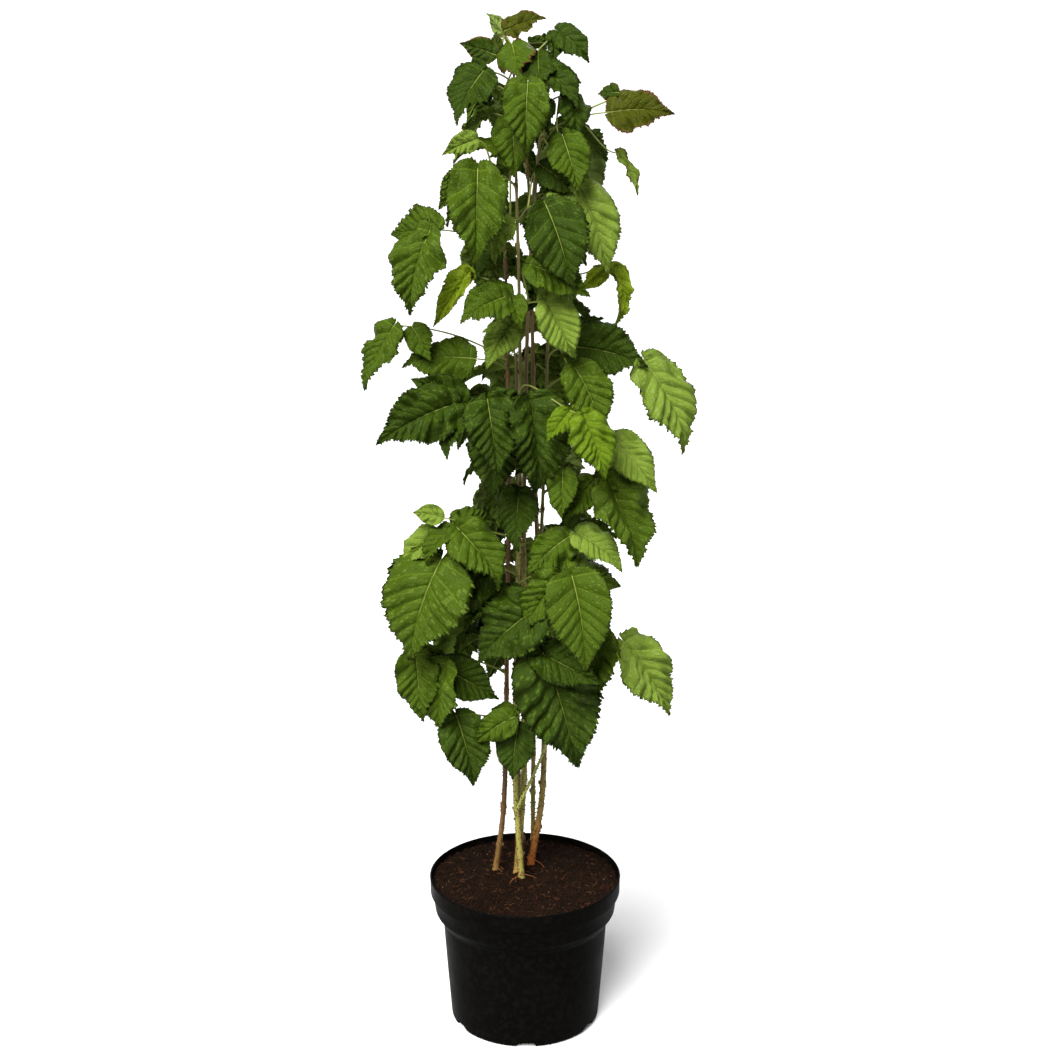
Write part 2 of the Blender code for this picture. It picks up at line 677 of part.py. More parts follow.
def build_shoot(name, leaves, material):
    # Joined by the first solver that leaves a whole mesh, or else with one side leaflet fewer
    while True:
        for solver in ("EXACT", "MANIFOLD"):
            solids = shoot_solids(leaves)
            objects = [add_object("operand", verts, faces, material) for verts, faces in solids]
            base = objects[0]
            fuse(base, objects[1:], "UNION", solver)
            if keep_outer_shell(base):
                base.name = name
                base.data.name = name
                return
            bpy.data.objects.remove(base)
        fullest = max(leaves, key=lambda leaf: len(leaf["beside"]))
        if fullest["beside"]:
            fullest["beside"].pop()
        else:
            leaves.pop()


def build():
    clear_scene()
    pot_black = make_material("pot_plastic", POT_BLACK, 0.42)
    compost_brown = make_material("compost", COMPOST_BROWN, 0.95)
    cane_green = make_material("cane", CANE_GREEN, 0.6)
    leaf_green = make_material("leaf", LEAF_GREEN, 0.5)
    build_pot(pot_black)
    build_compost(compost_brown)
    canes = {name: cane_route(name, CANE_STEPS_PER_SPAN) for name in CANES}
    for name, (route, radii) in canes.items():
        verts, faces = tube(route, radii, CANE_SIDES, UP)
        add_object(name, verts, faces, cane_green)
    for name, leaves in plan_crown(canes).items():
        build_shoot(name, leaves, leaf_green)


build()
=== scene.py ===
# A raspberry plant about 1.2 m tall in a round nursery pot, finished for its picture.
# The sizes and the leaf rule are those of the part. Metres, +Z up, the front faces -Y.

import math
import random

import bpy
import numpy as np
from mathutils import Matrix, Vector, noise
from mathutils.bvhtree import BVHTree


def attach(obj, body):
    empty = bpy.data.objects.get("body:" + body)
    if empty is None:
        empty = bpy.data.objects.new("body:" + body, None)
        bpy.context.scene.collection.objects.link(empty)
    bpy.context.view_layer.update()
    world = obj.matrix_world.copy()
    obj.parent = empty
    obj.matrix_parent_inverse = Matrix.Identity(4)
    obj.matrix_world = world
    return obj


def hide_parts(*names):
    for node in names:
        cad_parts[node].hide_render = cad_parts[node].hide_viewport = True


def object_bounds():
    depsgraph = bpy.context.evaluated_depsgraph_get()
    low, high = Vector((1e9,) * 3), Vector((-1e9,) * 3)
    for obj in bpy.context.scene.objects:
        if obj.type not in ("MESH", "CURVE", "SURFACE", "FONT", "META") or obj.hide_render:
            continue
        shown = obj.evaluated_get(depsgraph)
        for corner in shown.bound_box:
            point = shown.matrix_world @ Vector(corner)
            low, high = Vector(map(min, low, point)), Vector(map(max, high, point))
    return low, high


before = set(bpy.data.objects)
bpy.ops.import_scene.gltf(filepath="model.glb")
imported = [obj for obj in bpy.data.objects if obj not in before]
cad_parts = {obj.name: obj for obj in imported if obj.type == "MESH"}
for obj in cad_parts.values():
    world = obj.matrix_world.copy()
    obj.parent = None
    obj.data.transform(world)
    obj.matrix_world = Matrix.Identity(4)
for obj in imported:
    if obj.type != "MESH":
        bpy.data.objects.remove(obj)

part_low, part_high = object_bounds()

CM = 0.01
MM = 0.001
GAP = 0.3 * MM
UP = Vector((0, 0, 1))

# The pot, as diameters and heights
POT_HEIGHT = 18.6 * CM
POT_BASE_DIAMETER = 18.0 * CM
POT_BODY_TOP = 12.65 * CM
POT_BODY_TOP_DIAMETER = 19.8 * CM
POT_SHOULDER_TOP = 14.55 * CM
POT_SHOULDER_TOP_DIAMETER = 21.8 * CM
POT_LIP_BOTTOM = 16.4 * CM
POT_LIP_BOTTOM_DIAMETER = 22.2 * CM
POT_RIM_DIAMETER = 23.0 * CM
POT_WALL = 2.0 * MM
POT_FLOOR = 3.0 * MM
POT_CORNER_RADIUS = 6.0 * MM
POT_INNER_STEP = 1.5 * MM
NOTCHES = 6
NOTCH_WIDTH = 26.0 * MM
NOTCH_HEIGHT = 8.0 * MM
NOTCH_DEPTH = 16.0 * MM

# The compost fills the pot to just below the rim
COMPOST_TOP = 17.8 * CM

# Canes: foot radius and tip radius in millimetres, then x, y and height in centimetres along each one
CANE_SIDES = 8
CANE_STEPS_PER_SPAN = 3
CANE_FLARE = 1.35
CANES = {
    "cane_front": (3.4, 1.5, [(-0.4, 0, 17.83), (-1.2, -0.6, 32), (-1.0, -0.8, 48), (-0.6, -0.6, 66),
                              (-0.6, -0.8, 86), (-1.0, -1.5, 104)]),
    "cane_centre": (4.0, 1.2, [(-1.0, 1.0, 17.83), (-0.1, 1.0, 32), (-0.1, 0.8, 48), (-0.1, 0.4, 66),
                               (0.3, 0.2, 86), (1.4, -0.1, 104), (3.0, -0.6, 117)]),
    "cane_right": (3.8, 1.2, [(0.7, 3.5, 17.83), (2.2, 2.2, 30), (2.0, 1.6, 48), (1.2, 1.4, 66),
                              (0.8, 1.3, 86), (0.2, 0.8, 104), (-1.9, 0.1, 117)]),
    "cane_back_right": (2.9, 1.4, [(1.0, 5.0, 17.83), (1.0, 3.6, 32), (1.4, 3.0, 48), (2.1, 2.5, 66),
                                   (2.6, 2.2, 84), (3.0, 2.4, 96)]),
    "cane_left": (3.3, 1.4, [(-3.6, 2.2, 17.83), (-2.5, 1.6, 28), (-2.1, 1.0, 48), (-1.9, 0.8, 66),
                             (-2.0, 0.9, 86), (-2.5, 1.2, 100)]),
    "cane_back": (2.8, 1.4, [(-0.4, 4.6, 17.83), (-0.8, 3.2, 32), (-0.9, 2.6, 48), (-0.9, 2.4, 66),
                             (-1.0, 3.0, 82)]),
}

# Side shoots of the front half. Each row is one compound leaf: where its end leaflet starts, as x, y
# and height in centimetres, then its heading and dip in degrees, its length in centimetres, and which
# side leaflets it has. A last number makes the end leaflet broader or narrower than the rest. A heading
# of -90 is towards the front.
FRONT_SHOOTS = {
    "leaves_left_large": [(-9.4, -6, 60.3, -140, -66, 12.3, "", 1.2), (-10, -4, 62.8, -160, -45, 5.5, "")],
    "leaves_low_big": [(2.0, -8, 50.0, -20, -74, 15, "r")],
    "leaves_right_pair": [(5.2, -9.5, 59.5, -55, -76, 11, "lr")],
    "leaves_far_right": [(13.2, -4, 82.7, -25, -61, 11.6, "", 0.86)],
    "leaves_left_shoulder": [(-5, -8, 104.2, -95, -73, 10.5, "l"), (-5.2, -6, 107, -160, -20, 4, "")],
    "leaves_left_hand": [(-10.2, -5, 97.3, -145, -72, 9.8, "l", 0.86)],
    "leaves_right_inner": [(2.2, -9, 100.5, -40, -68, 9.5, ""), (1.8, -4, 104, -25, -35, 5.5, "")],
    "leaves_left_broad": [(-7.7, -5, 78, -160, -22, 10, "lr"), (-4.1, -9, 79.5, -62, -74, 8.5, "r")],
    "leaves_centre_deep": [(0.5, -7, 79, -90, -83, 13, ""), (-2.6, -6, 76.5, -120, -76, 9, "")],
    "leaves_lower_right": [(9.2, -6, 69.6, -28, -67, 10.5, "lr", 1.12), (4.2, -7, 71, -85, -75, 5.5, "")],
    "leaves_low_right": [(11.2, -5, 50.2, -10, -57, 10.8, "", 0.86), (8.2, -5, 51.5, -70, -80, 8.5, "")],
    "leaves_right_arm": [(9.2, -3, 109.6, -15, 1, 6.9, "", 1.05), (10, -0.5, 105, -25, -60, 5.2, "", 0.55),
                         (10, -2.4, 111.6, 178, -4, 2.5, "", 1.2)],
    "leaves_right_light": [(5.8, -5, 101.8, -20, -68, 10, "l", 0.85)],
    "leaves_upper_front": [(0.3, -6.5, 113, -95, -72, 8, ""), (2.5, -4, 114, -40, -42, 5.5, "r")],
    "leaves_upper_left": [(-4.4, -4, 114, -135, -50, 6.8, "l", 1.15)],
    "leaves_upper_right": [(4.8, -4, 111.6, -75, -64, 5, "", 1.15), (4, -6, 107.4, -45, -62, 6.5, "", 1.1)],
    "leaves_tip_left": [(-2, -0.3, 118, -15, 20, 4.5, ""), (-2.2, 0.2, 117.5, 180, 50, 3, ""),
                        (-3.2, -1.6, 115.5, -165, 18, 4, "l"), (-1.4, -1.5, 116.6, -80, -40, 5, "", 1.2)],
    "leaves_tip_right": [(3.4, -1, 118, -30, -38, 5, "l"), (1.4, -2, 115.8, -65, -42, 5.5, "", 1.2)],
    "leaves_left_inner": [(-2.3, -5, 98.5, -110, -55, 5.5, ""), (-1.4, -4, 109, -85, -66, 6.5, "", 1.1)],
    "leaves_mid_left": [(-2.1, -8, 90.5, -140, -16, 6.5, "lr"), (-6.2, -3, 92, -165, -55, 7, "l", 0.6)],
    "leaves_mid_centre": [(2.3, -8, 90, -20, -63, 7, "r"), (0.5, -8, 94, -20, -24, 7.5, "")],
    "leaves_mid_pale": [(-1.5, -5.5, 87, -130, -45, 6, "l")],
    "leaves_right_small": [(10, -2, 92.5, -10, -85, 6.5, "lr", 0.5)],
    "leaves_right_wing": [(5.6, -3, 84, -5, -12, 8.5, "lr"), (5.4, -6, 82.4, -45, -58, 8.5, "")],
    "leaves_far_left": [(-14.5, -2, 86.2, -160, -60, 8, "r", 0.72)],
    "leaves_left_flat": [(-6, -2, 82.5, 178, -3, 8, "")],
    "leaves_right_yellow": [(6.3, -10, 78, -40, -65, 7.5, "lr"), (9.5, -5, 74, -32, -42, 8, "", 0.85)],
    "leaves_centre_small": [(5, -6, 63, -155, -34, 6.5, ""), (5.9, -6, 63.4, -30, -30, 6.8, "")],
    "leaves_left_middle": [(-7.6, -6, 64, -25, -48, 8.6, "lr", 1.15), (-9.3, -5.5, 65, 172, 8, 3.5, "")],
    "leaves_left_dark": [(-4.5, -4, 58.5, -150, -48, 8, "")],
    "leaves_centre_low": [(1.5, -8.5, 55.5, -163, -44, 10, "", 1.15)],
    "leaves_low_left": [(-12.6, -4, 48.2, -75, -73, 8, "r"), (-9.5, -4, 46.5, -10, -28, 7.5, ""),
                        (-9, -5, 47.6, -95, -80, 8.5, "")],
    "leaves_low_tail": [(-8, -5, 41.2, -35, -73, 9, "")],
    "leaves_low_centre": [(-1.3, -5.5, 41, -165, -30, 5.5, "l"), (-0.8, -4.5, 39.6, -115, -76, 6.5, "")],
}

# Side shoots of the back half follow one rule: they wind round the back as they climb, and reach a
# share of the crown's half width, which is given here by height in centimetres
CROWN_HALF_WIDTH = [(35, 7), (42, 10), (50, 13), (60, 13), (66, 9.5), (72, 10.5), (80, 14), (86, 8.5),
                    (94, 8.5), (100, 10.5), (108, 11), (114, 6), (118, 3)]
BACK_SHOOTS = 12
BACK_LOWEST = 41
BACK_HIGHEST = 112
BACK_HEADINGS = (52, 128, 90, 48, 134, 70, 110)
BACK_HUB_SHARE = 0.52
BACK_LEAF_SHARE = 0.72
BACK_SEED = 11

# Leaf rule
LEAF_WIDTH = 0.70
SIDE_LEAFLET_SHARE = 0.68
SIDE_LEAFLET_SPREAD = 66
SIDE_LEAFLET_START = 0.84
LEAF_BEND = 38
LEAF_FOLD = 17
LEAF_THICKNESS_SHARE = 0.014
LEAF_FACING_FRONT = 1.0
LEAF_FACING_UP = 0.45
LEAF_FACING_OUT = 0.35
LEAF_FACING_SHARE = 0.85
LEAF_OUTLINE = [(0.0, 0.035), (0.07, 0.36), (0.3, 0.5), (0.64, 0.37)]
TWIG_RADIUS = 1.5 * MM
TWIG_TIP_RADIUS = 1.0 * MM
TWIG_STEPS = 4
TWIG_SINK_SHARE = 0.05
CLEARANCE = 0.5 * MM
TURN_TRIES = (0, 12, -12, 24, -24, 38, -38)
DIP_TRIES = (0, -12, 12, -24, 24)
SIZE_TRIES = (1.0, 0.86, 0.72)

# Ways tried in turn for a petiole: its turn off its cane and its drop and rise as shares of its reach,
# or where it leaves the stem of an earlier leaf
STEM_TURNS = (0, 35, -35, 70, -70)
STEM_DROPS = (0.35, 0.6, 0.15, 0.85, 0.0)
STEM_RISES = (0.22, 0.38, 0.06)
BRANCH_PLACES = (0.5, 0.65, 0.35, 0.8, 0.2, 0.93)
BRANCH_RISES = (0.12, 0.3, 0.0)

# Leaf blades for the picture. A template's kind has a number of side veins on a side, then its outline:
# how far down it is broadest, how much it narrows to the tip, and its lobes.
TEMPLATES_WANTED = (
    ("broad", 10, (0.62, 0.62, 0.0)), ("broad", 9, (0.66, 0.70, 0.0)), ("broad", 10, (0.59, 0.58, 0.0)),
    ("lobed", 9, (0.64, 0.60, 0.05)), ("small", 7, (0.66, 0.60, 0.0)), ("small", 6, (0.70, 0.64, 0.0)))
SMALL_LEAF = 6 * CM
LOBED = ("leaves_far_right", "leaves_low_right", "leaves_left_dark")
FOLDED = (("leaves_right_small", 0), ("leaves_right_arm", 1), ("leaves_mid_left", 1))
ROW_STEPS = (-0.05, 0.05, 0.2, 0.36, 0.52, 0.68, 0.84)
COLUMN_STEPS = (0, 0.022, 0.13, 0.26, 0.4, 0.54, 0.68, 0.81, 0.92, 1.0)
LOBE_REACH = 0.075
LOBE_PLACE = 0.5
LOBE_RISE = 0.16
LOBE_FALL = 0.1
LOBE_NOTCH = 0.35
OUTLINE_ROUNDNESS = 0.72
PINCH_START = 0.54
SLANT_LENGTH = 0.72
VEIN_TAPER = 0.5
BESIDE_VEIN = 0.1
REACH_STEPS = (0.002, 0.9, 450)

# From base to tip: where the side veins leave the midrib, and their slant in degrees
VEIN_STARTS = ((0, 0.09, 1), (0, 0, 0.985))
VEIN_SLANTS = ((0, 0.05, 0.12, 0.25, 0.6, 1), (170, 118, 76, 55, 44, 14))

# The toothed margin between one side vein and the next, and the sharp points on it
TOOTH_PLACES = (0, 0.05, 0.2, 0.36, 0.52, 0.68, 0.84, 0.95, 1)
TOOTH_SHAPE = (1.0, 0.8, -0.5, 0.35, -0.7, 0.3, -0.6, 0.5, 1.0)
TOOTH_DEPTH = 0.020
TOOTH_RISE = 1.0
TOOTH_MOST = 0.024
TOOTH_LEAN = 0.28
TOOTH_JITTER = 0.3
TOOTH_ANGLE = 32
TOOTH_SIZES = (0.45, 1.25)

# Relief of a blade, and how one leaf's habit may differ from another's
PLEAT_ROUNDNESS = 0.75
CROSS_VEINS = 5.0
PUCKER = 0.2
PLEAT_UNEVENNESS = 0.45
MIDRIB_GROOVE = 0.35
BLADE_THICKNESS = 0.3 * MM
PLEAT_RANGE = (0.055, 0.092)
CRUMPLE_RANGE = (0.012, 0.034)
FOLD_RANGE = (0.15, 0.75)
FOLDED_RANGE = (0.7, 0.9)
CURL_RANGE = (0.15, 0.8)
WAVE_RANGE = (0.03, 0.08)
WAVES_RANGE = (1.2, 2.6)
SKEW_MOST = 0.05
SIDE_PHASE = 2.1
TURN_MOST = 0.8
TIP_DROOP_RANGE = (0.1, 1.1)
HABIT_SEED = 1000

# A blade that leaves the part's space is made milder by steps, and is held just inside it at the end
CALM_STEPS = 8
CALM_SHARE = 0.85
CALM_WIDTH = 0.97
CALM_SLACK = 1.5 * MM
CALMED = ("pleat", "fold", "curl", "wave", "crumple", "turn", "droop")
BOX_INSET = 0.2 * MM

# Two sets of dents over a blade: their shift, and their waves along it and across it
DENTS = ((1, 2.2, 1.7), (2.3, 1.1, -2.9))

# Petioles, ribs and stipules
RIB_DROP = 0.5 * MM
END_RIB = (0.05, 0.15, 0.3, 0.5, 0.7, 0.88)
SIDE_RIB = (0.0, 0.06, *END_RIB[1:])
SIDE_NECK = 0.05
PETIOLE_STEPS = 16
PETIOLE_RADIUS = 1.15 * MM
PETIOLE_TIP_RADIUS = 0.75 * MM
PETIOLE_FLARE = 1.8
PETIOLE_NECK = 1.15
PETIOLE_ROOT = 1.6 * MM
STALK_SIDES = 7
STIPULE_LENGTHS = (7 * MM, 13 * MM)
STIPULE_WIDTH = 0.26

# Canes with their nodes, buds and prickles. The density is a number on a square metre.
CANE_FINE_STEPS = 44
CANE_FINE_SIDES = 20
CANE_ROOT = 5 * MM
CANE_ROOT_FLARE = 1.1
CANE_RELIEF = 0.5 * MM
CANE_GRAIN = 260.0
FIRST_NODE = (3 * CM, 6 * CM)
NODE_SPACING = (5 * CM, 8 * CM)
NODE_SWELL = 0.8 * MM
NODE_LENGTH = 4 * MM
FLARE_HEIGHT = 9 * MM
BUD_SIZE = 3.4 * MM
BUD_SWELL = (0.22, 0.42, 0.32, 0.06)
BUD_SINK = 0.6 * MM
BUD_TURN = 144
PRICKLE_DENSITY = 92000
PRICKLE_TOP = 62 * CM
PRICKLE_LENGTH = 2.6 * MM
PRICKLE_FOOT = 0.9 * MM
PRICKLE_SEED = 7

# A prickle's spine as lean and rise in shares of its length, and its swell in shares of its foot
PRICKLE_SPINE = ((0, -0.12, 1), (0.03, 0.25, 0.45), (0.2, 1, 0.07))

# The young shoot, as x, y and height in centimetres, and the rootlets
YOUNG_SHOOT = ((-0.95, -0.45, 26.9), (-0.5, -1.0, 28.6), (0.7, -1.3, 31.3), (2.1, -1.2, 34.7),
               (3.1, -0.9, 38.2), (3.5, -0.5, 42.5))
YOUNG_SHOOT_RADII = (2.3, 0.9)
YOUNG_SHOOT_STEPS = 6
YOUNG_SHOOT_SIDES = 14
YOUNG_SHOOT_SEED = 9.0
ROOTLETS = 16
ROOTLET_REACH = (0.8 * CM, 2.6 * CM)
ROOTLET_RISE = (0.3 * CM, 1.6 * CM)
ROOTLET_RADIUS = 0.5 * MM
ROOTLET_SEED = 5
ROOTLET_STEPS = 4
ROOTLET_TAPER = 0.04
ROOTLET_DEPTH = 3 * MM

# Shares of a rootlet's reach, rise and sideways swing, from its cane outwards
ROOTLET_ARCH = ((0.0, 1.0, 0.0), (0.35, 0.8, 1.0), (0.75, 0.3, 0.0))

# Pot and compost for the picture
LIP_RADIUS = 1.3 * MM
POT_FINE_SIDES = 144
POT_BEND_STEPS = 8
POT_LIP_STEPS = 10
SHARP_ANGLE = 40
COMPOST_RINGS = 70
COMPOST_SPOKES = 180
COMPOST_SKIN = 6 * MM
SKIRT_SHARE = 0.985
CRUMB_DEPTH = 3.5 * MM
LUMP_SCALE = 95
LUMP_HEIGHT = 1.6 * MM
MOUND_HEIGHT = 3.0 * MM
MOUND_REACH = 12 * MM

# Heights at which a cane's colour changes, and the tops of the crown's tiers in centimetres
FOOT_COLOUR_HEIGHT = 9 * CM
UPPER_COLOUR_START = 42 * CM
UPPER_COLOUR_END = 75 * CM
TIER_TOPS = (50, 60, 72, 82, 92, 102, 130)

# Leaf colours by tone: upper side, veins and underside. From deep to light the tones are darker and lighter
# copies of one green: partly the leaves' own tone, partly painted shade and painted light
TONES = {
    "deep": ((0.022, 0.042, 0.0012), (0.040, 0.070, 0.003), (0.048, 0.080, 0.008)),
    "mid": ((0.042, 0.074, 0.002), (0.070, 0.115, 0.006), (0.075, 0.115, 0.014)),
    "fresh": ((0.082, 0.138, 0.003), (0.120, 0.190, 0.008), (0.120, 0.180, 0.022)),
    "light": ((0.122, 0.184, 0.019), (0.174, 0.246, 0.035), (0.155, 0.215, 0.048)),
    "yellow": ((0.205, 0.285, 0.010), (0.270, 0.350, 0.026), (0.220, 0.290, 0.040)),
    "olive": ((0.042, 0.050, 0.001), (0.068, 0.078, 0.004), (0.070, 0.080, 0.010)),
}
RED_EDGE = (0.110, 0.045, 0.012)
NEAR_TONES = {"deep": "mid", "mid": "deep", "fresh": "mid", "light": "mid", "yellow": "fresh",
              "olive": "deep"}
TONE_SHIFT_SHARE = 0.12

# Tones of the front shoots, one for each of their leaves or one for all. They are partly the leaves' own
# colour, partly painted shade on leaves in shadow and painted light on leaves in the light
SPRAY_TONES_AND_SHADE = {
    "leaves_left_large": "mid light", "leaves_low_big": "deep", "leaves_right_pair": "mid",
    "leaves_far_right": "light", "leaves_left_shoulder": "mid light", "leaves_left_hand": "mid",
    "leaves_right_inner": "deep deep", "leaves_left_broad": "deep", "leaves_centre_deep": "deep",
    "leaves_lower_right": "mid mid", "leaves_low_right": "light mid", "leaves_right_arm": "olive light deep",
    "leaves_right_light": "light", "leaves_upper_front": "mid deep", "leaves_upper_left": "deep",
    "leaves_upper_right": "deep mid", "leaves_tip_left": "olive light deep mid",
    "leaves_tip_right": "deep deep", "leaves_left_inner": "light mid", "leaves_mid_left": "mid yellow",
    "leaves_mid_centre": "light mid", "leaves_mid_pale": "light", "leaves_right_small": "yellow",
    "leaves_right_wing": "deep mid", "leaves_far_left": "mid", "leaves_left_flat": "mid",
    "leaves_right_yellow": "fresh light", "leaves_centre_small": "mid light",
    "leaves_left_middle": "mid light", "leaves_left_dark": "deep", "leaves_centre_low": "deep",
    "leaves_low_left": "mid deep mid", "leaves_low_tail": "deep", "leaves_low_centre": "mid deep",
}
RED_EDGED = ("leaves_tip_left", "leaves_right_arm")
BACK_TONES = ("mid", "deep", "light", "deep", "fresh", "mid")
# Mostly the deep tone for the inner sprays in the dense middle of the crown: painted shade
INNER_TONES_AND_SHADE = ("deep", "mid", "deep", "deep", "fresh")
STEM_GREEN = (0.170, 0.200, 0.030)
YOUNG_GREEN = (0.340, 0.370, 0.080)
ROOTLET_BROWN = (0.200, 0.070, 0.022)
PRICKLE_BROWN = (0.060, 0.018, 0.006)
BUD_BROWN = (0.110, 0.055, 0.020)

# Cane colours at the foot, up to the crown and in its top
CANE_COLOURS = {
    "cane_front": ((0.300, 0.250, 0.055), (0.370, 0.345, 0.070), (0.190, 0.165, 0.040)),
    "cane_centre": ((0.280, 0.160, 0.040), (0.330, 0.310, 0.055), (0.150, 0.110, 0.034)),
    "cane_right": ((0.340, 0.085, 0.014), (0.290, 0.210, 0.045), (0.140, 0.082, 0.026)),
    "cane_back_right": ((0.260, 0.110, 0.026), (0.260, 0.260, 0.045), (0.150, 0.130, 0.034)),
    "cane_left": ((0.190, 0.110, 0.026), (0.170, 0.085, 0.026), (0.130, 0.062, 0.022)),
    "cane_back": ((0.200, 0.110, 0.030), (0.250, 0.230, 0.050), (0.140, 0.110, 0.034)),
}

# Ground, patch and fleck colours, and the scales of the patches and of the flecks
POT_BLOTCHES = ((0.0017, 0.0016, 0.0013), (0.0026, 0.0024, 0.0020), (0.0045, 0.0040, 0.0032), 18.0, 140.0)
SOIL_BLOTCHES = ((0.0060, 0.0027, 0.0011), (0.0120, 0.0052, 0.0021), (0.0026, 0.0013, 0.0007), 70.0, 420.0)

# Finishes: grain scale, grain depth in metres, least and most roughness
CANE_FINISH = (500.0, 0.0003, 0.42, 0.66)
STEM_FINISH = (700.0, 0.0002, 0.45, 0.65)
YOUNG_FINISH = (500.0, 0.0003, 0.42, 0.62)
BUD_FINISH = (900.0, 0.0003, 0.6, 0.8)
ROOTLET_FINISH = (900.0, 0.0002, 0.6, 0.8)
PRICKLE_FINISH = (900.0, 0.0001, 0.45, 0.6)
POT_FINISH = (900.0, 0.00004, 0.3, 0.45)
SOIL_FINISH = (520.0, 0.0012, 0.85, 1.0)
CRUMB_FINISH = (900.0, 0.0005, 0.8, 1.0)

# Leaf finishes: cell scale, cell depth and grain depth in metres, least and most roughness
LEAF_UPPER_FINISH = (330.0, 0.0010, 0.0005, 0.36, 0.58)
LEAF_UNDER_FINISH = (330.0, 0.0006, 0.0004, 0.7, 0.85)

# Noise in the surface groups. The streaks up a cane have a scale, detail, roughness and stretch.
MASK_LOW = 0.3
MASK_HIGH = 0.7
BROAD_SCALE = 30.0
LEAF_GRAIN_SCALE = 900.0
CELL_ROUNDNESS = 0.6
STREAK_NOISE = (160.0, 4, 0.6, (1, 1, 0.12))
STREAK_SHADE = 0.62

# Loose bits on the compost: length and breadth in millimetres, sides and rings, colour, number on a
# square metre, least and most size, and tilt
CRUMBS = {
    "peat_crumbs": (2.6, 2.0, 6, 5, (0.0085, 0.0038, 0.0018), 42000, 0.5, 1.4, 0.5),
    "brown_crumbs": (3.4, 2.0, 6, 5, (0.0190, 0.0080, 0.0036), 22000, 0.4, 1.2, 0.5),
    "bark_bits": (7.0, 1.8, 5, 5, (0.0420, 0.0180, 0.0080), 3200, 0.5, 1.3, 0.25),
    "root_fibres": (15.0, 0.5, 5, 7, (0.130, 0.050, 0.018), 1500, 0.4, 1.1, 0.12),
    "pale_grit": (1.6, 1.4, 6, 4, (0.150, 0.110, 0.070), 700, 0.3, 0.9, 0.3),
}

# Small inner sprays close to the canes, where the crown is dense
INNER_SHOOTS = 46
INNER_FACING = (0.3, 1.0)
INNER_LOWEST = 45
INNER_HIGHEST = 112
INNER_TURN = 137.5
INNER_OUT = (2.6, 5.4)
INNER_LENGTHS = (4.5, 7.5)
INNER_DIPS = (-75, -25)
INNER_REACH = 0.85
INNER_OUT_SHARE = 0.5
INNER_MIDDLE = (-0.2, 1.2)
INNER_SEED = 23
BARE_SPANS = ((57, 65), (79, 85))

# Camera, from the perspective of the pot's rim and base
FRAME_PIXELS = 1050
FOCAL_PIXELS = 2087
CAMERA_PLACE = (0, -2.3, 1.311)
CAMERA_PITCH = 16.6
SENSOR = 36

# Daylight from the upper left in front
SUN_POWER = 7.0
SUN_SPREAD = 38
SUN_TILT = 42
SUN_TURN = -26
FLOOR_PALE = (0.90, 0.90, 0.90)
FLOOR_BOUNCE = (0.42, 0.42, 0.42)
ROOM_GLOW = 0.1
ROOM_SEEN = 0.95
FLOOR_REACH = 60

# Softboxes: place, height aimed at, size across and up in metres, and power in watts
SOFTBOXES = {
    "left_softbox": ((-2.4, -0.9, 1.6), 0.6, (0.7, 2.2), 12),
    "right_softbox": ((2.4, -0.7, 1.6), 0.6, (0.7, 2.2), 13),
    "top_softbox": ((0.2, -1.7, 3.2), 0.7, (1.8, 1.2), 20),
    "back_softbox": ((0.9, 2.6, 2.0), 0.7, (1.4, 1.8), 34),
}


# Meshes, shapes and the leaf rule

def new_mesh(name, verts, faces, edges=()):
    # A mesh from points, faces and loose edges
    mesh = bpy.data.meshes.new(name)
    mesh.from_pydata([tuple(v) for v in verts], list(edges), [tuple(f) for f in faces])
    return mesh


def put_in_scene(name, data):
    # A new object for a mesh, a light or a camera
    item = bpy.data.objects.new(name, data)
    bpy.context.scene.collection.objects.link(item)
    return item


def smooth_faces(mesh):
    mesh.polygons.foreach_set("use_smooth", np.ones(len(mesh.polygons), bool))


def evaluated_mesh(item):
    # A plain mesh of an object as its modifiers leave it
    graph = bpy.context.evaluated_depsgraph_get()
    graph.update()
    return bpy.data.meshes.new_from_object(item.evaluated_get(graph))


def triangles(faces):
    # Fans every face out into triangles, so that none is bent
    return [(face[0], face[k], face[k + 1]) for face in faces for k in range(1, len(face) - 1)]


# Pot and compost

def lathe(profile, sides):
    # Turns a profile of radius and height round the Z axis. It starts and ends on the axis.
    verts = []
    faces = []
    rings = profile[1:-1]
    for radius, height in rings:
        for i in range(sides):
            angle = math.tau * i / sides
            verts.append((radius * math.cos(angle), radius * math.sin(angle), height))
    for r in range(len(rings) - 1):
        low = r * sides
        high = low + sides
        for i in range(sides):
            j = (i + 1) % sides
            faces.append((low + i, low + j, high + j, high + i))
    faces.append(tuple(reversed(range(sides))))
    faces.append(tuple(range((len(rings) - 1) * sides, len(rings) * sides)))
    return verts, faces


def notch_cutter():
    # Six rounded blocks stand round the bottom corner, all in one mesh
    verts = []
    faces = []
    reach = NOTCH_DEPTH + 20 * MM
    start = POT_BASE_DIAMETER / 2 - NOTCH_DEPTH
    arch = [(-0.5, -1.0), (0.5, -1.0), (0.5, 0.35), (0.36, 0.85), (0.2, 1.0),
            (-0.2, 1.0), (-0.36, 0.85), (-0.5, 0.35)]
    for n in range(NOTCHES):
        turn = Matrix.Rotation(math.tau * n / NOTCHES - math.pi / 2, 4, "Z")
        first = len(verts)
        for out in (start, start + reach):
            for across, height in arch:
                verts.append(turn @ Vector((out, across * NOTCH_WIDTH, height * NOTCH_HEIGHT)))
        count = len(arch)
        faces.append([first + i for i in reversed(range(count))])
        faces.append([first + count + i for i in range(count)])
        for i in range(count):
            j = (i + 1) % count
            faces.append((first + i, first + j, first + count + j, first + count + i))
    return verts, faces


# Tubes and canes

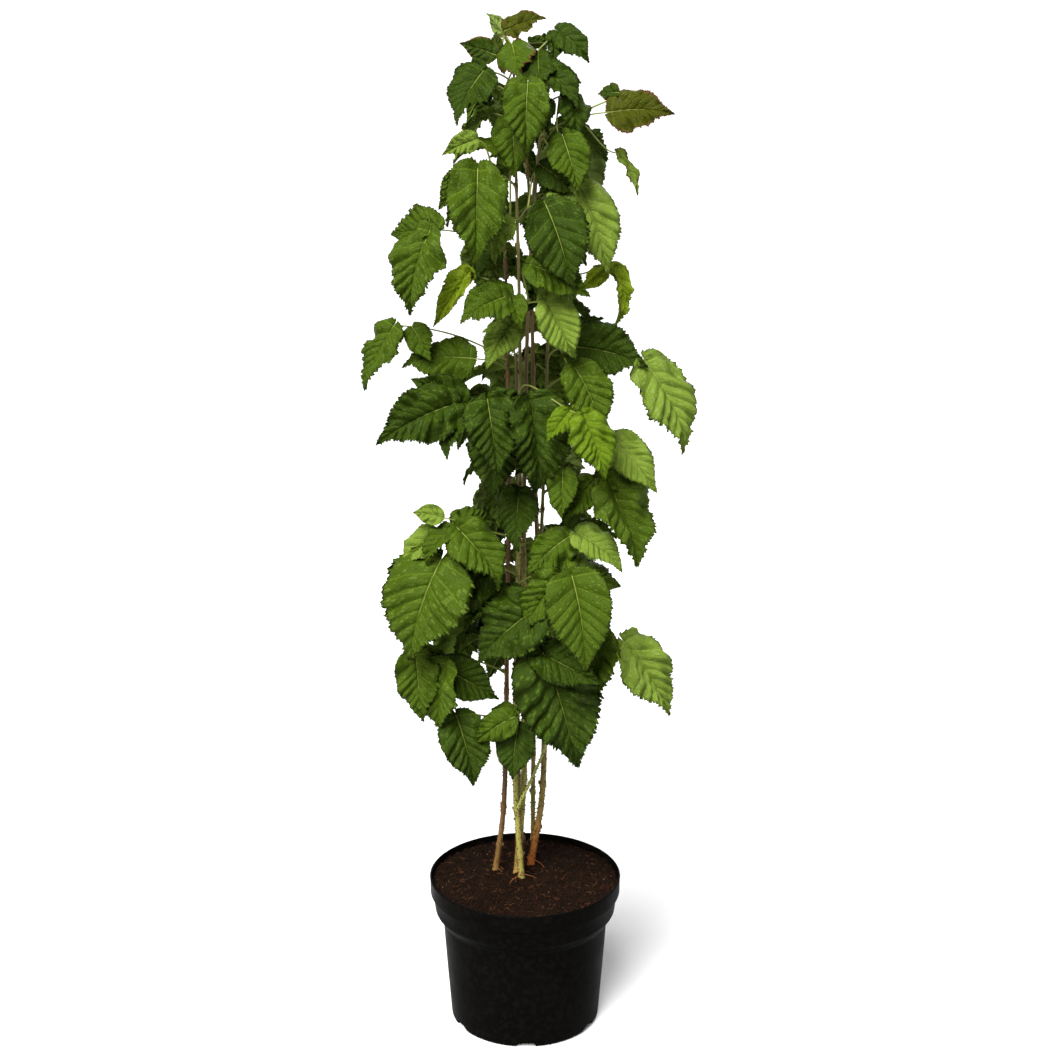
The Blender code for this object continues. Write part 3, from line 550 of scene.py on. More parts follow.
def tube(points, radii, sides, first_normal=None):
    # A closed tube through the points. The first ring can be turned to lie across another direction.
    verts = []
    faces = []
    count = len(points)
    across = None
    for k in range(count):
        ahead = points[min(k + 1, count - 1)] - points[max(k - 1, 0)]
        along = ahead.normalized()
        if k == 0 and first_normal is not None:
            along = first_normal.normalized()
        if across is None:
            across = along.orthogonal().normalized()
        across = (across - along * across.dot(along)).normalized()
        beside = along.cross(across)
        for i in range(sides):
            angle = math.tau * i / sides
            verts.append(points[k] + radii[k] * (math.cos(angle) * across + math.sin(angle) * beside))
    for k in range(count - 1):
        for i in range(sides):
            j = (i + 1) % sides
            faces.append((k * sides + i, k * sides + j, (k + 1) * sides + j, (k + 1) * sides + i))
    faces.append(tuple(reversed(range(sides))))
    faces.append(tuple(range((count - 1) * sides, count * sides)))
    return verts, faces


def smooth_route(stations, steps):
    # A Catmull-Rom curve through the stations
    first = 2 * stations[0] - stations[1]
    last = 2 * stations[-1] - stations[-2]
    line = [first, *stations, last]
    route = []
    for k in range(1, len(line) - 2):
        a, b, c, d = line[k - 1:k + 3]
        for step in range(steps):
            t = step / steps
            route.append(0.5 * (2 * b + (c - a) * t + (2 * a - 5 * b + 4 * c - d) * t * t
                                + (3 * b - a - 3 * c + d) * t * t * t))
    route.append(stations[-1])
    return route


def cane_route(name, steps):
    foot_radius, tip_radius, stations = CANES[name]
    route = smooth_route([Vector(s) * CM for s in stations], steps)
    foot = route[0].z
    tip = route[-1].z
    radii = []
    for point in route:
        share = (point.z - foot) / (tip - foot)
        radius = (foot_radius + (tip_radius - foot_radius) * share) * MM
        radii.append(radius)
    radii[0] *= CANE_FLARE
    return route, radii


def cane_at(route, radii, height):
    # The middle of a cane and its radius at a height
    for k in range(len(route) - 1):
        low, high = route[k], route[k + 1]
        if low.z <= height <= high.z:
            t = (height - low.z) / (high.z - low.z)
            return low.lerp(high, t), radii[k] + (radii[k + 1] - radii[k]) * t
    return None


# Leaf rule

def direction(heading, dip):
    a, b = math.radians(heading), math.radians(dip)
    return Vector((math.cos(a) * math.cos(b), math.sin(a) * math.cos(b), math.sin(b)))


def leaflet(base, heading, dip, length, width, twist, bend):
    return {"base": base, "heading": heading, "dip": dip, "length": length, "width": width,
            "twist": twist, "bend": bend}


def leaflet_frame(leaf, share):
    # A point on the midrib, the way it runs there, the upper side's normal and the way across
    bend = math.radians(leaf["bend"])
    chord_dip = math.radians(leaf["dip"])
    arc = leaf["length"] * (bend / 2) / math.sin(bend / 2) if bend else leaf["length"]
    start = chord_dip + bend / 2
    pitch = start - bend * share
    if bend:
        out = arc / bend * (math.sin(start) - math.sin(pitch))
        rise = arc / bend * (math.cos(pitch) - math.cos(start))
    else:
        out = arc * share * math.cos(start)
        rise = arc * share * math.sin(start)
    heading = math.radians(leaf["heading"])
    ahead = Vector((math.cos(heading), math.sin(heading), 0))
    point = leaf["base"] + ahead * out + UP * rise
    along = ahead * math.cos(pitch) + UP * math.sin(pitch)
    normal = UP * math.cos(pitch) - ahead * math.sin(pitch)
    normal = Matrix.Rotation(math.radians(leaf["twist"]), 3, along) @ normal
    return point, along, normal, normal.cross(along)


def leaflet_solid(leaf, extra=0.0, outline=LEAF_OUTLINE):
    # A thin folded blade with sharp edges, thickest along its midrib
    half = leaf["length"] * LEAF_THICKNESS_SHARE / 2 + extra
    fold = math.radians(LEAF_FOLD)
    verts = []
    for share, width in outline:
        point, along, normal, across = leaflet_frame(leaf, share)
        reach = leaf["width"] * width + extra
        lift = normal * reach * math.sin(fold)
        verts.append(point + normal * half)
        verts.append(point - normal * half)
        verts.append(point + across * reach * math.cos(fold) + lift)
        verts.append(point - across * reach * math.cos(fold) + lift)
    tip = len(verts)
    verts.append(leaflet_frame(leaf, 1.0)[0])
    faces = [(0, 1, 2), (1, 0, 3)]
    top, under, left, right = range(4)
    for k in range(len(outline) - 1):
        a, b = 4 * k, 4 * k + 4
        faces += [(a + top, a + left, b + left, b + top), (a + right, a + top, b + top, b + right)]
        faces += [(a + left, a + under, b + under, b + left), (a + under, a + right, b + right, b + under)]
    a = 4 * (len(outline) - 1)
    faces += [(a + top, a + left, tip), (a + right, a + top, tip)]
    faces += [(a + left, a + under, tip), (a + under, a + right, tip)]
    return verts, faces


def face_light(leaf, jitter, facing):
    # Twists a leaflet about its midrib so that its upper side looks up and away from the canes
    leaf["twist"] = 0
    along, normal = leaflet_frame(leaf, 0.3)[1:3]
    to_front, to_side = facing
    out = Vector((leaf["base"].x, leaf["base"].y, 0)).normalized() * to_side
    front = -1 if leaf["base"].y < 0 else 1
    wanted = Vector((0, to_front * front, LEAF_FACING_UP)) + out
    wanted -= along * wanted.dot(along)
    turn = math.atan2(normal.cross(wanted).dot(along), normal.dot(wanted))
    leaf["twist"] = math.degrees(turn) * LEAF_FACING_SHARE + jitter
    leaf["bend"] *= 1 - 0.6 * abs(math.sin(turn))
    return leaf


def side_leaflets(leaf, petiole, sides, rng, facing):
    # Smaller leaflets stand off the petiole just before the end one, and droop
    out = []
    along, normal, across = leaflet_frame(leaf, 0.3)[1:]
    start = curve_point(petiole, SIDE_LEAFLET_START)
    for side in ("l", "r"):
        spread = math.radians(SIDE_LEAFLET_SPREAD + rng.uniform(-14, 14))
        share = SIDE_LEAFLET_SHARE * rng.uniform(0.86, 1.12)
        twist = rng.uniform(-16, 16)
        droop = rng.uniform(0.1, 0.35)
        if side not in sides:
            continue
        sign = -1 if side == "l" else 1
        way = along * math.cos(spread) + across * sign * math.sin(spread) - UP * droop
        way.normalize()
        heading = math.degrees(math.atan2(way.y, way.x))
        dip = math.degrees(math.asin(way.z))
        length = leaf["length"] * share
        bend = LEAF_BEND * rng.uniform(0.5, 1.1)
        blade = leaflet(start, heading, dip, length, length * LEAF_WIDTH * 0.92, 0, bend)
        out.append(face_light(blade, twist, facing))
    return out


def curve_point(curve, t):
    a, b, c, d = curve
    s = 1 - t
    return s * s * s * a + 3 * s * s * t * b + 3 * s * t * t * c + t * t * t * d


def petiole_curve(start, way, hub, heading, rise):
    reach = (hub - start).length
    end_way = direction(heading, 12)
    return (start, start + way * reach * 0.30 + UP * reach * rise,
            hub - end_way * reach * 0.32 + UP * reach * 0.04, hub)


def twig_solid(curve, first_normal, sink=None, extra=0.0):
    # A three-sided twig along the curve, which can run on to a point inside its leaflet
    points = [curve_point(curve, k / TWIG_STEPS) for k in range(TWIG_STEPS + 1)]
    if sink:
        points.append(sink)
    last = len(points) - 1
    radii = [TWIG_RADIUS + (TWIG_TIP_RADIUS - TWIG_RADIUS) * k / last + extra for k in range(last + 1)]
    return tube(points, radii, 3, first_normal)


def tree_of(solid):
    verts, faces = solid
    return BVHTree.FromPolygons([tuple(v) for v in verts], triangles(faces))


def is_clear(solid, placed):
    tree = tree_of(solid)
    return not any(tree.overlap(other) for other in placed)


# Laying out the side shoots

def stem_tries(hub, canes):
    # Ways to leave a cane for a leaf: nearest cane first, then lower or higher, then turned aside
    near = sorted(canes.values(), key=lambda cane: cane_distance(cane, hub))
    for turn in STEM_TURNS:
        for drop in STEM_DROPS:
            for route, radii in near:
                middle = cane_at(route, radii, min(hub.z, route[-1].z - 2 * MM))
                reach = math.hypot(hub.x - middle[0].x, hub.y - middle[0].y)
                height = min(hub.z - drop * reach, route[-1].z - 4 * MM)
                found = cane_at(route, radii, height)
                if found is None:
                    continue
                centre, radius = found
                flat = Vector((hub.x - centre.x, hub.y - centre.y, 0)).normalized()
                way = Matrix.Rotation(math.radians(turn), 3, "Z") @ flat
                yield centre + way * (radius + GAP), way


def cane_distance(cane, hub):
    route, radii = cane
    found = cane_at(route, radii, min(hub.z, route[-1].z - 2 * MM))
    return (hub - found[0]).length if found else 1.0


def place_petiole(hub, heading, canes, placed, roots):
    # The first way to the leaf that touches nothing. Later leaves of a shoot branch from its stem.
    if roots:
        stem = roots[0]
        for t in BRANCH_PLACES:
            start = curve_point(stem, t)
            way = (hub - start).normalized()
            for rise in BRANCH_RISES:
                curve = petiole_curve(start, way, hub, heading, rise)
                if is_clear(twig_solid(curve, None, None, CLEARANCE), placed):
                    return curve, None
        return None, None
    for start, way in stem_tries(hub, canes):
        for rise in STEM_RISES:
            curve = petiole_curve(start, way, hub, heading, rise)
            off = way * CLEARANCE
            test = tuple(p + off for p in curve[:1]) + curve[1:]
            if is_clear(twig_solid(test, way, None, GAP), placed):
                return curve, way
    return None, None


def place_leaflet(leaf, placed, own):
    # Turns, tips or shrinks a leaflet until it touches nothing, or gives it up. The narrow neck may
    # touch the other leaflets of its own shoot.
    for size in SIZE_TRIES:
        for dip in DIP_TRIES:
            for turn in TURN_TRIES:
                trial = dict(leaf)
                trial["heading"] += turn
                trial["dip"] = max(-88, min(80, trial["dip"] + dip))
                trial["length"] *= size
                trial["width"] *= size
                blade = leaflet_solid(trial, CLEARANCE, LEAF_OUTLINE[1:])
                if is_clear(leaflet_solid(trial, CLEARANCE), placed) and is_clear(blade, own):
                    own.append(tree_of(blade))
                    return trial
    return None


def plan_shoot(rows, seed, canes, placed, facing=(LEAF_FACING_FRONT, LEAF_FACING_OUT)):
    # One side shoot: its twigs and leaflets, each clear of every cane and every earlier shoot
    rng = random.Random(seed)
    leaves = []
    roots = []
    own = []
    for x, y, z, heading, dip, length, sides, *breadth in rows:
        hub = Vector((x, y, z)) * CM
        width = LEAF_WIDTH * rng.uniform(0.92, 1.08) * (breadth[0] if breadth else 1)
        twist = rng.uniform(-14, 14)
        bend = LEAF_BEND * rng.uniform(0.6, 1.2)
        curve, way = place_petiole(hub, heading, canes, placed, roots)
        if curve is None:
            continue
        end = face_light(leaflet(hub, heading, dip, length * CM, length * CM * width, 0, bend), twist, facing)
        beside = side_leaflets(end, curve, sides, rng, facing)
        end = place_leaflet(end, placed, own)
        if end is None:
            continue
        kept = [leaf for leaf in (place_leaflet(one, placed, own) for one in beside) if leaf]
        roots.append(curve)
        leaves.append({"curve": curve, "way": way, "end": end, "beside": kept})
    return leaves


def shoot_solids(leaves):
    # The closed pieces of one side shoot, stem first: each petiole runs on into its end leaflet
    solids = []
    for leaf in leaves:
        inner = leaflet_frame(leaf["end"], TWIG_SINK_SHARE)[0]
        solids.append(twig_solid(leaf["curve"], leaf["way"], inner))
        solids.append(leaflet_solid(leaf["end"]))
        solids += [leaflet_solid(side) for side in leaf["beside"]]
    return solids


def crown_half_width(height):
    for (low, a), (high, b) in zip(CROWN_HALF_WIDTH, CROWN_HALF_WIDTH[1:]):
        if height <= high:
            return a + (b - a) * max(0, height - low) / (high - low)
    return CROWN_HALF_WIDTH[-1][1]


def back_shoots():
    # Rows for the back half, in the same form as those of the front
    rng = random.Random(BACK_SEED)
    shoots = {}
    for n in range(BACK_SHOOTS):
        share = n / (BACK_SHOOTS - 1)
        height = BACK_LOWEST + (BACK_HIGHEST - BACK_LOWEST) * share
        rows = []
        for k in range(2):
            heading = BACK_HEADINGS[(n + 3 * k) % len(BACK_HEADINGS)] + rng.uniform(-14, 14)
            z = height + (rng.uniform(1, 5) if k else 0)
            half = crown_half_width(z)
            out = half * BACK_HUB_SHARE * rng.uniform(0.8, 1.25)
            x = out * math.cos(math.radians(heading))
            y = out * math.sin(math.radians(heading))
            length = half * BACK_LEAF_SHARE * rng.uniform(0.85, 1.15)
            dip = -66 + 30 * share * rng.uniform(0.3, 1.3)
            rows.append((x, y + 1.0, z, heading, dip, length, "lr" if k == 0 else rng.choice(("l", "r"))))
        shoots["leaves_back_%02d" % (n + 1)] = rows
    return shoots


def plan_crown(canes):
    placed = [tree_of(tube(route, radii, CANE_SIDES)) for route, radii in canes.values()]
    crown = {}
    shoots = {**FRONT_SHOOTS, **back_shoots()}
    for seed, (name, rows) in enumerate(shoots.items()):
        leaves = plan_shoot(rows, seed, canes, placed)
        if leaves:
            crown[name] = leaves
            placed += [tree_of(solid) for solid in shoot_solids(leaves)]
    return crown


# Node trees, surface groups and materials

def feed(tree, node, inputs):
    # Gives each input of a node a value, or links it to the socket that is given
    for label, value in inputs.items():
        socket = node.inputs[label]
        if isinstance(value, bpy.types.NodeSocket):
            tree.links.new(value, socket)
        else:
            socket.default_value = (*value, 1) if socket.type == "RGBA" else value
    return node.outputs


def add_node(tree, kind, inputs=None, **settings):
    # A new node with its settings and inputs. Gives back its outputs.
    node = tree.nodes.new(kind)
    for label, value in settings.items():
        setattr(node, label, value)
    return feed(tree, node, inputs or {})


def new_group(name, inputs, outputs):
    # A shader group with named inputs and outputs, and the sockets that hand its inputs on
    group = bpy.data.node_groups.new(name, "ShaderNodeTree")
    for label, value in inputs.items():
        kind = "NodeSocketColor" if isinstance(value, tuple) else "NodeSocketFloat"
        socket = group.interface.new_socket(name=label, in_out="INPUT", socket_type=kind)
        socket.default_value = (*value, 1) if isinstance(value, tuple) else value
    for label, kind in outputs.items():
        group.interface.new_socket(name=label, in_out="OUTPUT", socket_type=kind)
    return group, add_node(group, "NodeGroupInput")


def noise_at(tree, scale, detail, roughness=0.55, stretch=None):
    # Noise in the object's own coordinates
    place = add_node(tree, "ShaderNodeTexCoord")["Object"]
    if stretch:
        place = add_node(tree, "ShaderNodeMapping", {"Vector": place, "Scale": stretch})["Vector"]
    return add_node(tree, "ShaderNodeTexNoise", {"Vector": place, "Scale": scale, "Detail": detail,
                                                 "Roughness": roughness})["Fac"]


def spread_between(tree, mask, low, high):
    # Maps the middle of a noise mask onto the range from low to high
    return add_node(tree, "ShaderNodeMapRange", {"Value": mask, "From Min": MASK_LOW, "From Max": MASK_HIGH,
                                                 "To Min": low, "To Max": high})["Result"]


def mix_colours(tree, mask, first, second):
    return add_node(tree, "ShaderNodeMix", {"Factor": mask, 6: first, 7: second}, data_type="RGBA")[2]


def bump_from(tree, height, depth, under=None):
    # A bump of a given depth, on top of another normal where there is one
    inputs = {"Height": height, "Distance": depth}
    if under:
        inputs["Normal"] = under
    return add_node(tree, "ShaderNodeBump", inputs)["Normal"]


def roughness_of(group, given):
    broad = noise_at(group, BROAD_SCALE, 2)
    return spread_between(group, broad, given["Smoothest"], given["Roughest"])


def make_skin_group():
    # Fine grain for twigs, canes, plastic and soil: a spread of roughness and a bump
    group, given = new_group(
        "skin_grain", {"Grain Scale": 400.0, "Depth": 0.0002, "Smoothest": 0.4, "Roughest": 0.6},
        {"Roughness": "NodeSocketFloat", "Normal": "NodeSocketVector"})
    raised = bump_from(group, noise_at(group, given["Grain Scale"], 3), given["Depth"])
    add_node(group, "NodeGroupOutput", {"Roughness": roughness_of(group, given), "Normal": raised})
    return group


def make_quilting_group():
    # A leaf's skin: small raised cells between the finest veins, with grain on them
    group, given = new_group(
        "leaf_quilting",
        {"Cell Scale": 230.0, "Cell Depth": 0.001, "Grain Depth": 0.0004, "Smoothest": 0.4, "Roughest": 0.6},
        {"Roughness": "NodeSocketFloat", "Normal": "NodeSocketVector"})
    place = add_node(group, "ShaderNodeTexCoord")["Object"]
    cells = add_node(group, "ShaderNodeTexVoronoi", {"Vector": place, "Scale": given["Cell Scale"]},
                     feature="DISTANCE_TO_EDGE")["Distance"]
    domes = add_node(group, "ShaderNodeMath", {0: cells, 1: CELL_ROUNDNESS}, operation="POWER")["Value"]
    raised = bump_from(group, domes, given["Cell Depth"])
    raised = bump_from(group, noise_at(group, LEAF_GRAIN_SCALE, 2), given["Grain Depth"], raised)
    add_node(group, "NodeGroupOutput", {"Roughness": roughness_of(group, given), "Normal": raised})
    return group


def make_blotch_group():
    # Three colours in soft blotches: a ground colour, broad patches and small flecks
    group, given = new_group(
        "blotches", {"Ground": (0.1, 0.1, 0.1), "Patch": (0.2, 0.2, 0.2), "Fleck": (0.05, 0.05, 0.05),
                     "Patch Scale": 60.0, "Fleck Scale": 600.0}, {"Color": "NodeSocketColor"})
    broad = spread_between(group, noise_at(group, given["Patch Scale"], 4), 0.0, 1.0)
    small = spread_between(group, noise_at(group, given["Fleck Scale"], 2), -0.6, 0.9)
    patched = mix_colours(group, broad, given["Ground"], given["Patch"])
    add_node(group, "NodeGroupOutput", {"Color": mix_colours(group, small, patched, given["Fleck"])})
    return group


def make_material(name, colour, finish, specular=0.4, group=None):
    # A plain colour under a skin group, which takes the numbers of the finish in their order
    material = bpy.data.materials.new(name)
    material.use_nodes = True
    tree = material.node_tree
    skin = add_node(tree, "ShaderNodeGroup", dict(enumerate(finish)), node_tree=group or SKIN)
    feed(tree, tree.nodes["Principled BSDF"], {
        "Base Color": colour, "Specular IOR Level": specular, "Roughness": skin["Roughness"],
        "Normal": skin["Normal"]})
    return material


def paint(material, blotches):
    # Lays the blotches over a material's plain colour
    tree = material.node_tree
    colour = add_node(tree, "ShaderNodeGroup", dict(enumerate(blotches)), node_tree=BLOTCHES)["Color"]
    feed(tree, tree.nodes["Principled BSDF"], {"Base Color": colour})


def height_mask(tree, start, end):
    # Rises from 0 to 1 between two heights
    place = add_node(tree, "ShaderNodeTexCoord")["Object"]
    height = add_node(tree, "ShaderNodeSeparateXYZ", {"Vector": place})["Z"]
    mask = add_node(tree, "ShaderNodeMapRange", {"Value": height, "From Min": start, "From Max": end})
    return mask["Result"]


def cane_material(name, foot, low, high):
    # A cane's skin: one colour at the foot, another up to the crown, and a third at the top
    material = make_material(name, low, CANE_FINISH)
    tree = material.node_tree
    streaks = spread_between(tree, noise_at(tree, *STREAK_NOISE), 0.0, 1.0)
    body = mix_colours(tree, streaks, low, tuple(STREAK_SHADE * c for c in low))
    body = mix_colours(tree, height_mask(tree, COMPOST_TOP, COMPOST_TOP + FOOT_COLOUR_HEIGHT), foot, body)
    body = mix_colours(tree, height_mask(tree, UPPER_COLOUR_START, UPPER_COLOUR_END), body, high)
    feed(tree, tree.nodes["Principled BSDF"], {"Base Color": body})
    return material


# Fine leaf blades

def blade_rows(pairs):
    # Row places in vein counts from the base: two close together on each side vein, three between
    places = [0.0]
    for k in range(pairs):
        for step in ROW_STEPS:
            if k or step > 0:
                places.append(k + step)
    places.append(float(pairs))
    return np.array(places)


def blade_half_width(share, fullness, pinch, lobe):
    # Half the blade's breadth at a share of its length, as a share of its whole breadth
    shifted = np.clip((share + LOBE_REACH) / (1 + LOBE_REACH), 0, 1)
    round_part = np.sin(math.pi * shifted ** fullness) ** OUTLINE_ROUNDNESS / 2
    ease = np.clip((share - PINCH_START) / (1 - PINCH_START), 0, 1)
    outline = round_part * (1 - pinch * ease * ease * (3 - 2 * ease))
    rise = np.clip((share - LOBE_PLACE + LOBE_RISE) / LOBE_RISE, 0, 1)
    fall = np.clip((LOBE_PLACE + LOBE_FALL - share) / LOBE_FALL, 0, 1)
    return outline + lobe * (np.where(share < LOBE_PLACE, rise ** 2, fall) - LOBE_NOTCH)


def vein_rays(places, pairs, outline):
    # Where each row leaves the midrib, how it slants, and how far it runs to the margin
    q = places / pairs
    start = np.interp(q, *VEIN_STARTS)
    slant = np.radians(np.interp(q, *VEIN_SLANTS))
    steps = np.linspace(*REACH_STEPS)
    along = start[:, None] + steps * SLANT_LENGTH * np.cos(slant)[:, None]
    out = steps * np.sin(slant)[:, None]
    outside = out > blade_half_width(along, *outline) + 0.002
    reach = steps[np.argmax(outside, axis=1)]
    return start, slant, np.maximum(reach, 0.02)


def blade_template(pairs, outline, seed):
    # The flat shape of a blade and its pleats, in shares of the length and of the breadth
    rng = np.random.default_rng(seed)
    rows = blade_rows(pairs)
    half = np.array(COLUMN_STEPS)
    across = np.concatenate([-half[:0:-1], half])
    out = np.abs(across)
    nearest = np.round(rows)
    taper = 1 - VEIN_TAPER * out
    places = nearest[:, None] + (rows - nearest)[:, None] * np.where(
        np.abs(rows - nearest)[:, None] < BESIDE_VEIN, taper, 1.0)
    places = np.clip(places, 0, pairs)
    start, slant, reach = vein_rays(places.ravel(), pairs, outline)
    shape = places.shape
    start, slant, reach = start.reshape(shape), slant.reshape(shape), reach.reshape(shape)
    phase = places - np.floor(places)
    tooth = np.interp(phase, TOOTH_PLACES, TOOTH_SHAPE) * TOOTH_DEPTH
    half_side = (across > 0).astype(int)
    tooth += rng.uniform(-TOOTH_JITTER, TOOTH_JITTER, (shape[0], 2))[:, half_side] * TOOTH_DEPTH
    tooth *= np.clip((out - 0.8) / 0.2, 0, 1) * np.clip(reach / 0.2, 0, 1)
    lean = slant - math.radians(TOOTH_ANGLE)
    share = start + reach * out * np.cos(slant) * SLANT_LENGTH + tooth * np.cos(lean)
    width = (reach * out * np.sin(slant) + tooth * np.sin(lean)) * np.sign(across)
    between = np.sin(math.pi * phase) ** PLEAT_ROUNDNESS
    swell = between * out ** 0.5 * (1 - 0.25 * out ** 3) * np.clip(reach / 0.3, 0.15, 1)
    cross_veins = np.sin(math.tau * (out * CROSS_VEINS + 0.5 * phase + rng.uniform(0, 0.35, shape)))
    uneven = rng.uniform(1 - PLEAT_UNEVENNESS, 1 + PLEAT_UNEVENNESS, (pairs + 1, 2))
    swell *= uneven[np.floor(places).astype(int), half_side]
    swell += PUCKER * between * cross_veins * np.clip(out * 4, 0, 1)
    swell += (between > 0.4) * rng.uniform(-PUCKER, PUCKER, shape) / 2 * np.clip(out * 4, 0, 1)
    swell -= MIDRIB_GROOVE * (out < 0.02)
    near_vein = (np.abs(rows - nearest) < BESIDE_VEIN) & (nearest > 0)
    vein = near_vein[:-1] & near_vein[1:] & (nearest[:-1] == nearest[1:])
    points = rng.uniform(*TOOTH_SIZES, (2, shape[0] - 1))
    return {"share": share, "width": width, "swell": swell, "vein": vein, "across": across, "points": points}


def midrib_frames(leaf, shares, turn):
    # The same curve as leaflet_frame, for a whole grid of shares at once
    bend = math.radians(leaf["bend"]) or 1e-6
    start = math.radians(leaf["dip"]) + bend / 2
    arc = leaf["length"] * (bend / 2) / math.sin(bend / 2)
    pitch = start - bend * shares
    out = arc / bend * (np.sin(start) - np.sin(pitch))
    rise = arc / bend * (np.cos(pitch) - np.cos(start))
    heading = math.radians(leaf["heading"])
    ahead = np.array([math.cos(heading), math.sin(heading), 0])
    up = np.array([0, 0, 1.0])
    point = np.array(leaf["base"]) + out[..., None] * ahead + rise[..., None] * up
    along = np.cos(pitch)[..., None] * ahead + np.sin(pitch)[..., None] * up
    flat = np.cos(pitch)[..., None] * up - np.sin(pitch)[..., None] * ahead
    angle = math.radians(leaf["twist"]) + turn * (shares - 0.3)
    normal = flat * np.cos(angle)[..., None] + np.cross(along, flat) * np.sin(angle)[..., None]
    return point, normal, np.cross(normal, along)


def leaf_habit(leaf, name, place, rng):
    # How one leaflet differs from its neighbours
    small = leaf["length"] < SMALL_LEAF
    kinds = "lobed" if name in LOBED else "small" if small else "broad"
    return {
        "template": rng.choice([k for k, row in enumerate(TEMPLATES_WANTED) if row[0] == kinds]),
        "pleat": rng.uniform(*PLEAT_RANGE),
        "fold": rng.uniform(*(FOLDED_RANGE if (name, place) in FOLDED else FOLD_RANGE)),
        "curl": rng.uniform(*CURL_RANGE),
        "wave": rng.uniform(*WAVE_RANGE),
        "crumple": rng.uniform(*CRUMPLE_RANGE),
        "crumple_phase": rng.uniform(0, math.tau),
        "waves": rng.uniform(*WAVES_RANGE),
        "phase": rng.uniform(0, math.tau),
        "turn": rng.uniform(-TURN_MOST, TURN_MOST),
        "droop": rng.uniform(*TIP_DROOP_RANGE),
        "skew": rng.uniform(-SKEW_MOST, SKEW_MOST),
        "width": 1.0,
    }


def blade_surface(leaf, habit, neck):
    # The upper side of a blade as a grid of points, with the normals it was lifted along
    template = TEMPLATES[habit["template"]]
    share = neck + (1 - neck) * template["share"]
    width = template["width"]
    point, normal, side = midrib_frames(leaf, share, habit["turn"])
    breadth = leaf["width"] * habit["width"]
    out = np.abs(width) * 2
    sway = np.where(width > 0, 1.0, 0.8)
    lift = breadth / 2 * (out * habit["fold"] - out ** 2 * habit["curl"] * sway)
    lift += leaf["length"] * template["swell"] * habit["pleat"]
    ripple = np.sin(habit["phase"] + math.tau * habit["waves"] * share + np.where(width > 0, 0, SIDE_PHASE))
    lift += leaf["length"] * habit["wave"] * out ** 2 * ripple
    dents = 0
    for shift, down, aside in DENTS:
        dents = dents + np.sin(shift * habit["crumple_phase"] + math.tau * (down * share + aside * width))
    lift += leaf["length"] * habit["crumple"] * dents * np.clip(out * 3, 0, 1)
    lift -= leaf["length"] * habit["droop"] * np.clip(share - 0.6, 0, 1) ** 2
    spread = breadth * width * (1 - 0.25 * habit["fold"] ** 2)
    spread += leaf["length"] * habit["skew"] * share * (1 - share)
    return point + side * spread[..., None] + normal * lift[..., None], normal


def calm_habit(leaf, habit, neck):
    # The same habit, made milder until the blade keeps inside the part's own space
    low, high = np.array(part_low) - CALM_SLACK, np.array(part_high) + CALM_SLACK
    for attempt in range(CALM_STEPS):
        top = blade_surface(leaf, habit, neck)[0]
        if (top >= low).all() and (top <= high).all():
            break
        milder = {key: habit[key] * CALM_SHARE for key in CALMED}
        habit = {**habit, **milder, "width": habit["width"] * CALM_WIDTH}
    return habit


def blade_mesh(leaf, habit, neck):
    # A closed blade: pleated upper side, toothed margin, and an underside a leaf's thickness below it
    template = TEMPLATES[habit["template"]]
    top, normal = blade_surface(leaf, habit, neck)
    under = top - normal * BLADE_THICKNESS
    tips = [margin_points(top, edge, inner, leaf["length"], template["points"][k])
            for k, (edge, inner) in enumerate(((0, 1), (-1, -2)))]
    inner = np.zeros(top.shape[:2], bool)
    inner[1:-1, 1:-1] = True
    verts = np.concatenate([top.reshape(-1, 3), under[inner], *tips])
    verts = np.clip(verts, np.array(part_low) + BOX_INSET, np.array(part_high) - BOX_INSET)
    faces, kinds = blade_faces(inner, template["vein"])
    return verts, faces, kinds


def margin_points(top, edge, inner, length, reach):
    # A sharp tooth between each two rows of the margin, leaning towards the tip of the leaf
    margin = top[:, edge]
    step = margin[1:] - margin[:-1]
    long = np.linalg.norm(step, axis=1)[:, None]
    outward = (margin - top[:, inner])[1:] + (margin - top[:, inner])[:-1]
    outward -= step * (outward * step).sum(axis=1)[:, None] / np.maximum(long, 1e-9) ** 2
    outward /= np.maximum(np.linalg.norm(outward, axis=1)[:, None], 1e-9)
    tall = np.minimum(long * TOOTH_RISE, length * TOOTH_MOST) * reach[:, None]
    return (margin[1:] + margin[:-1]) / 2 + step * TOOTH_LEAN + outward * tall


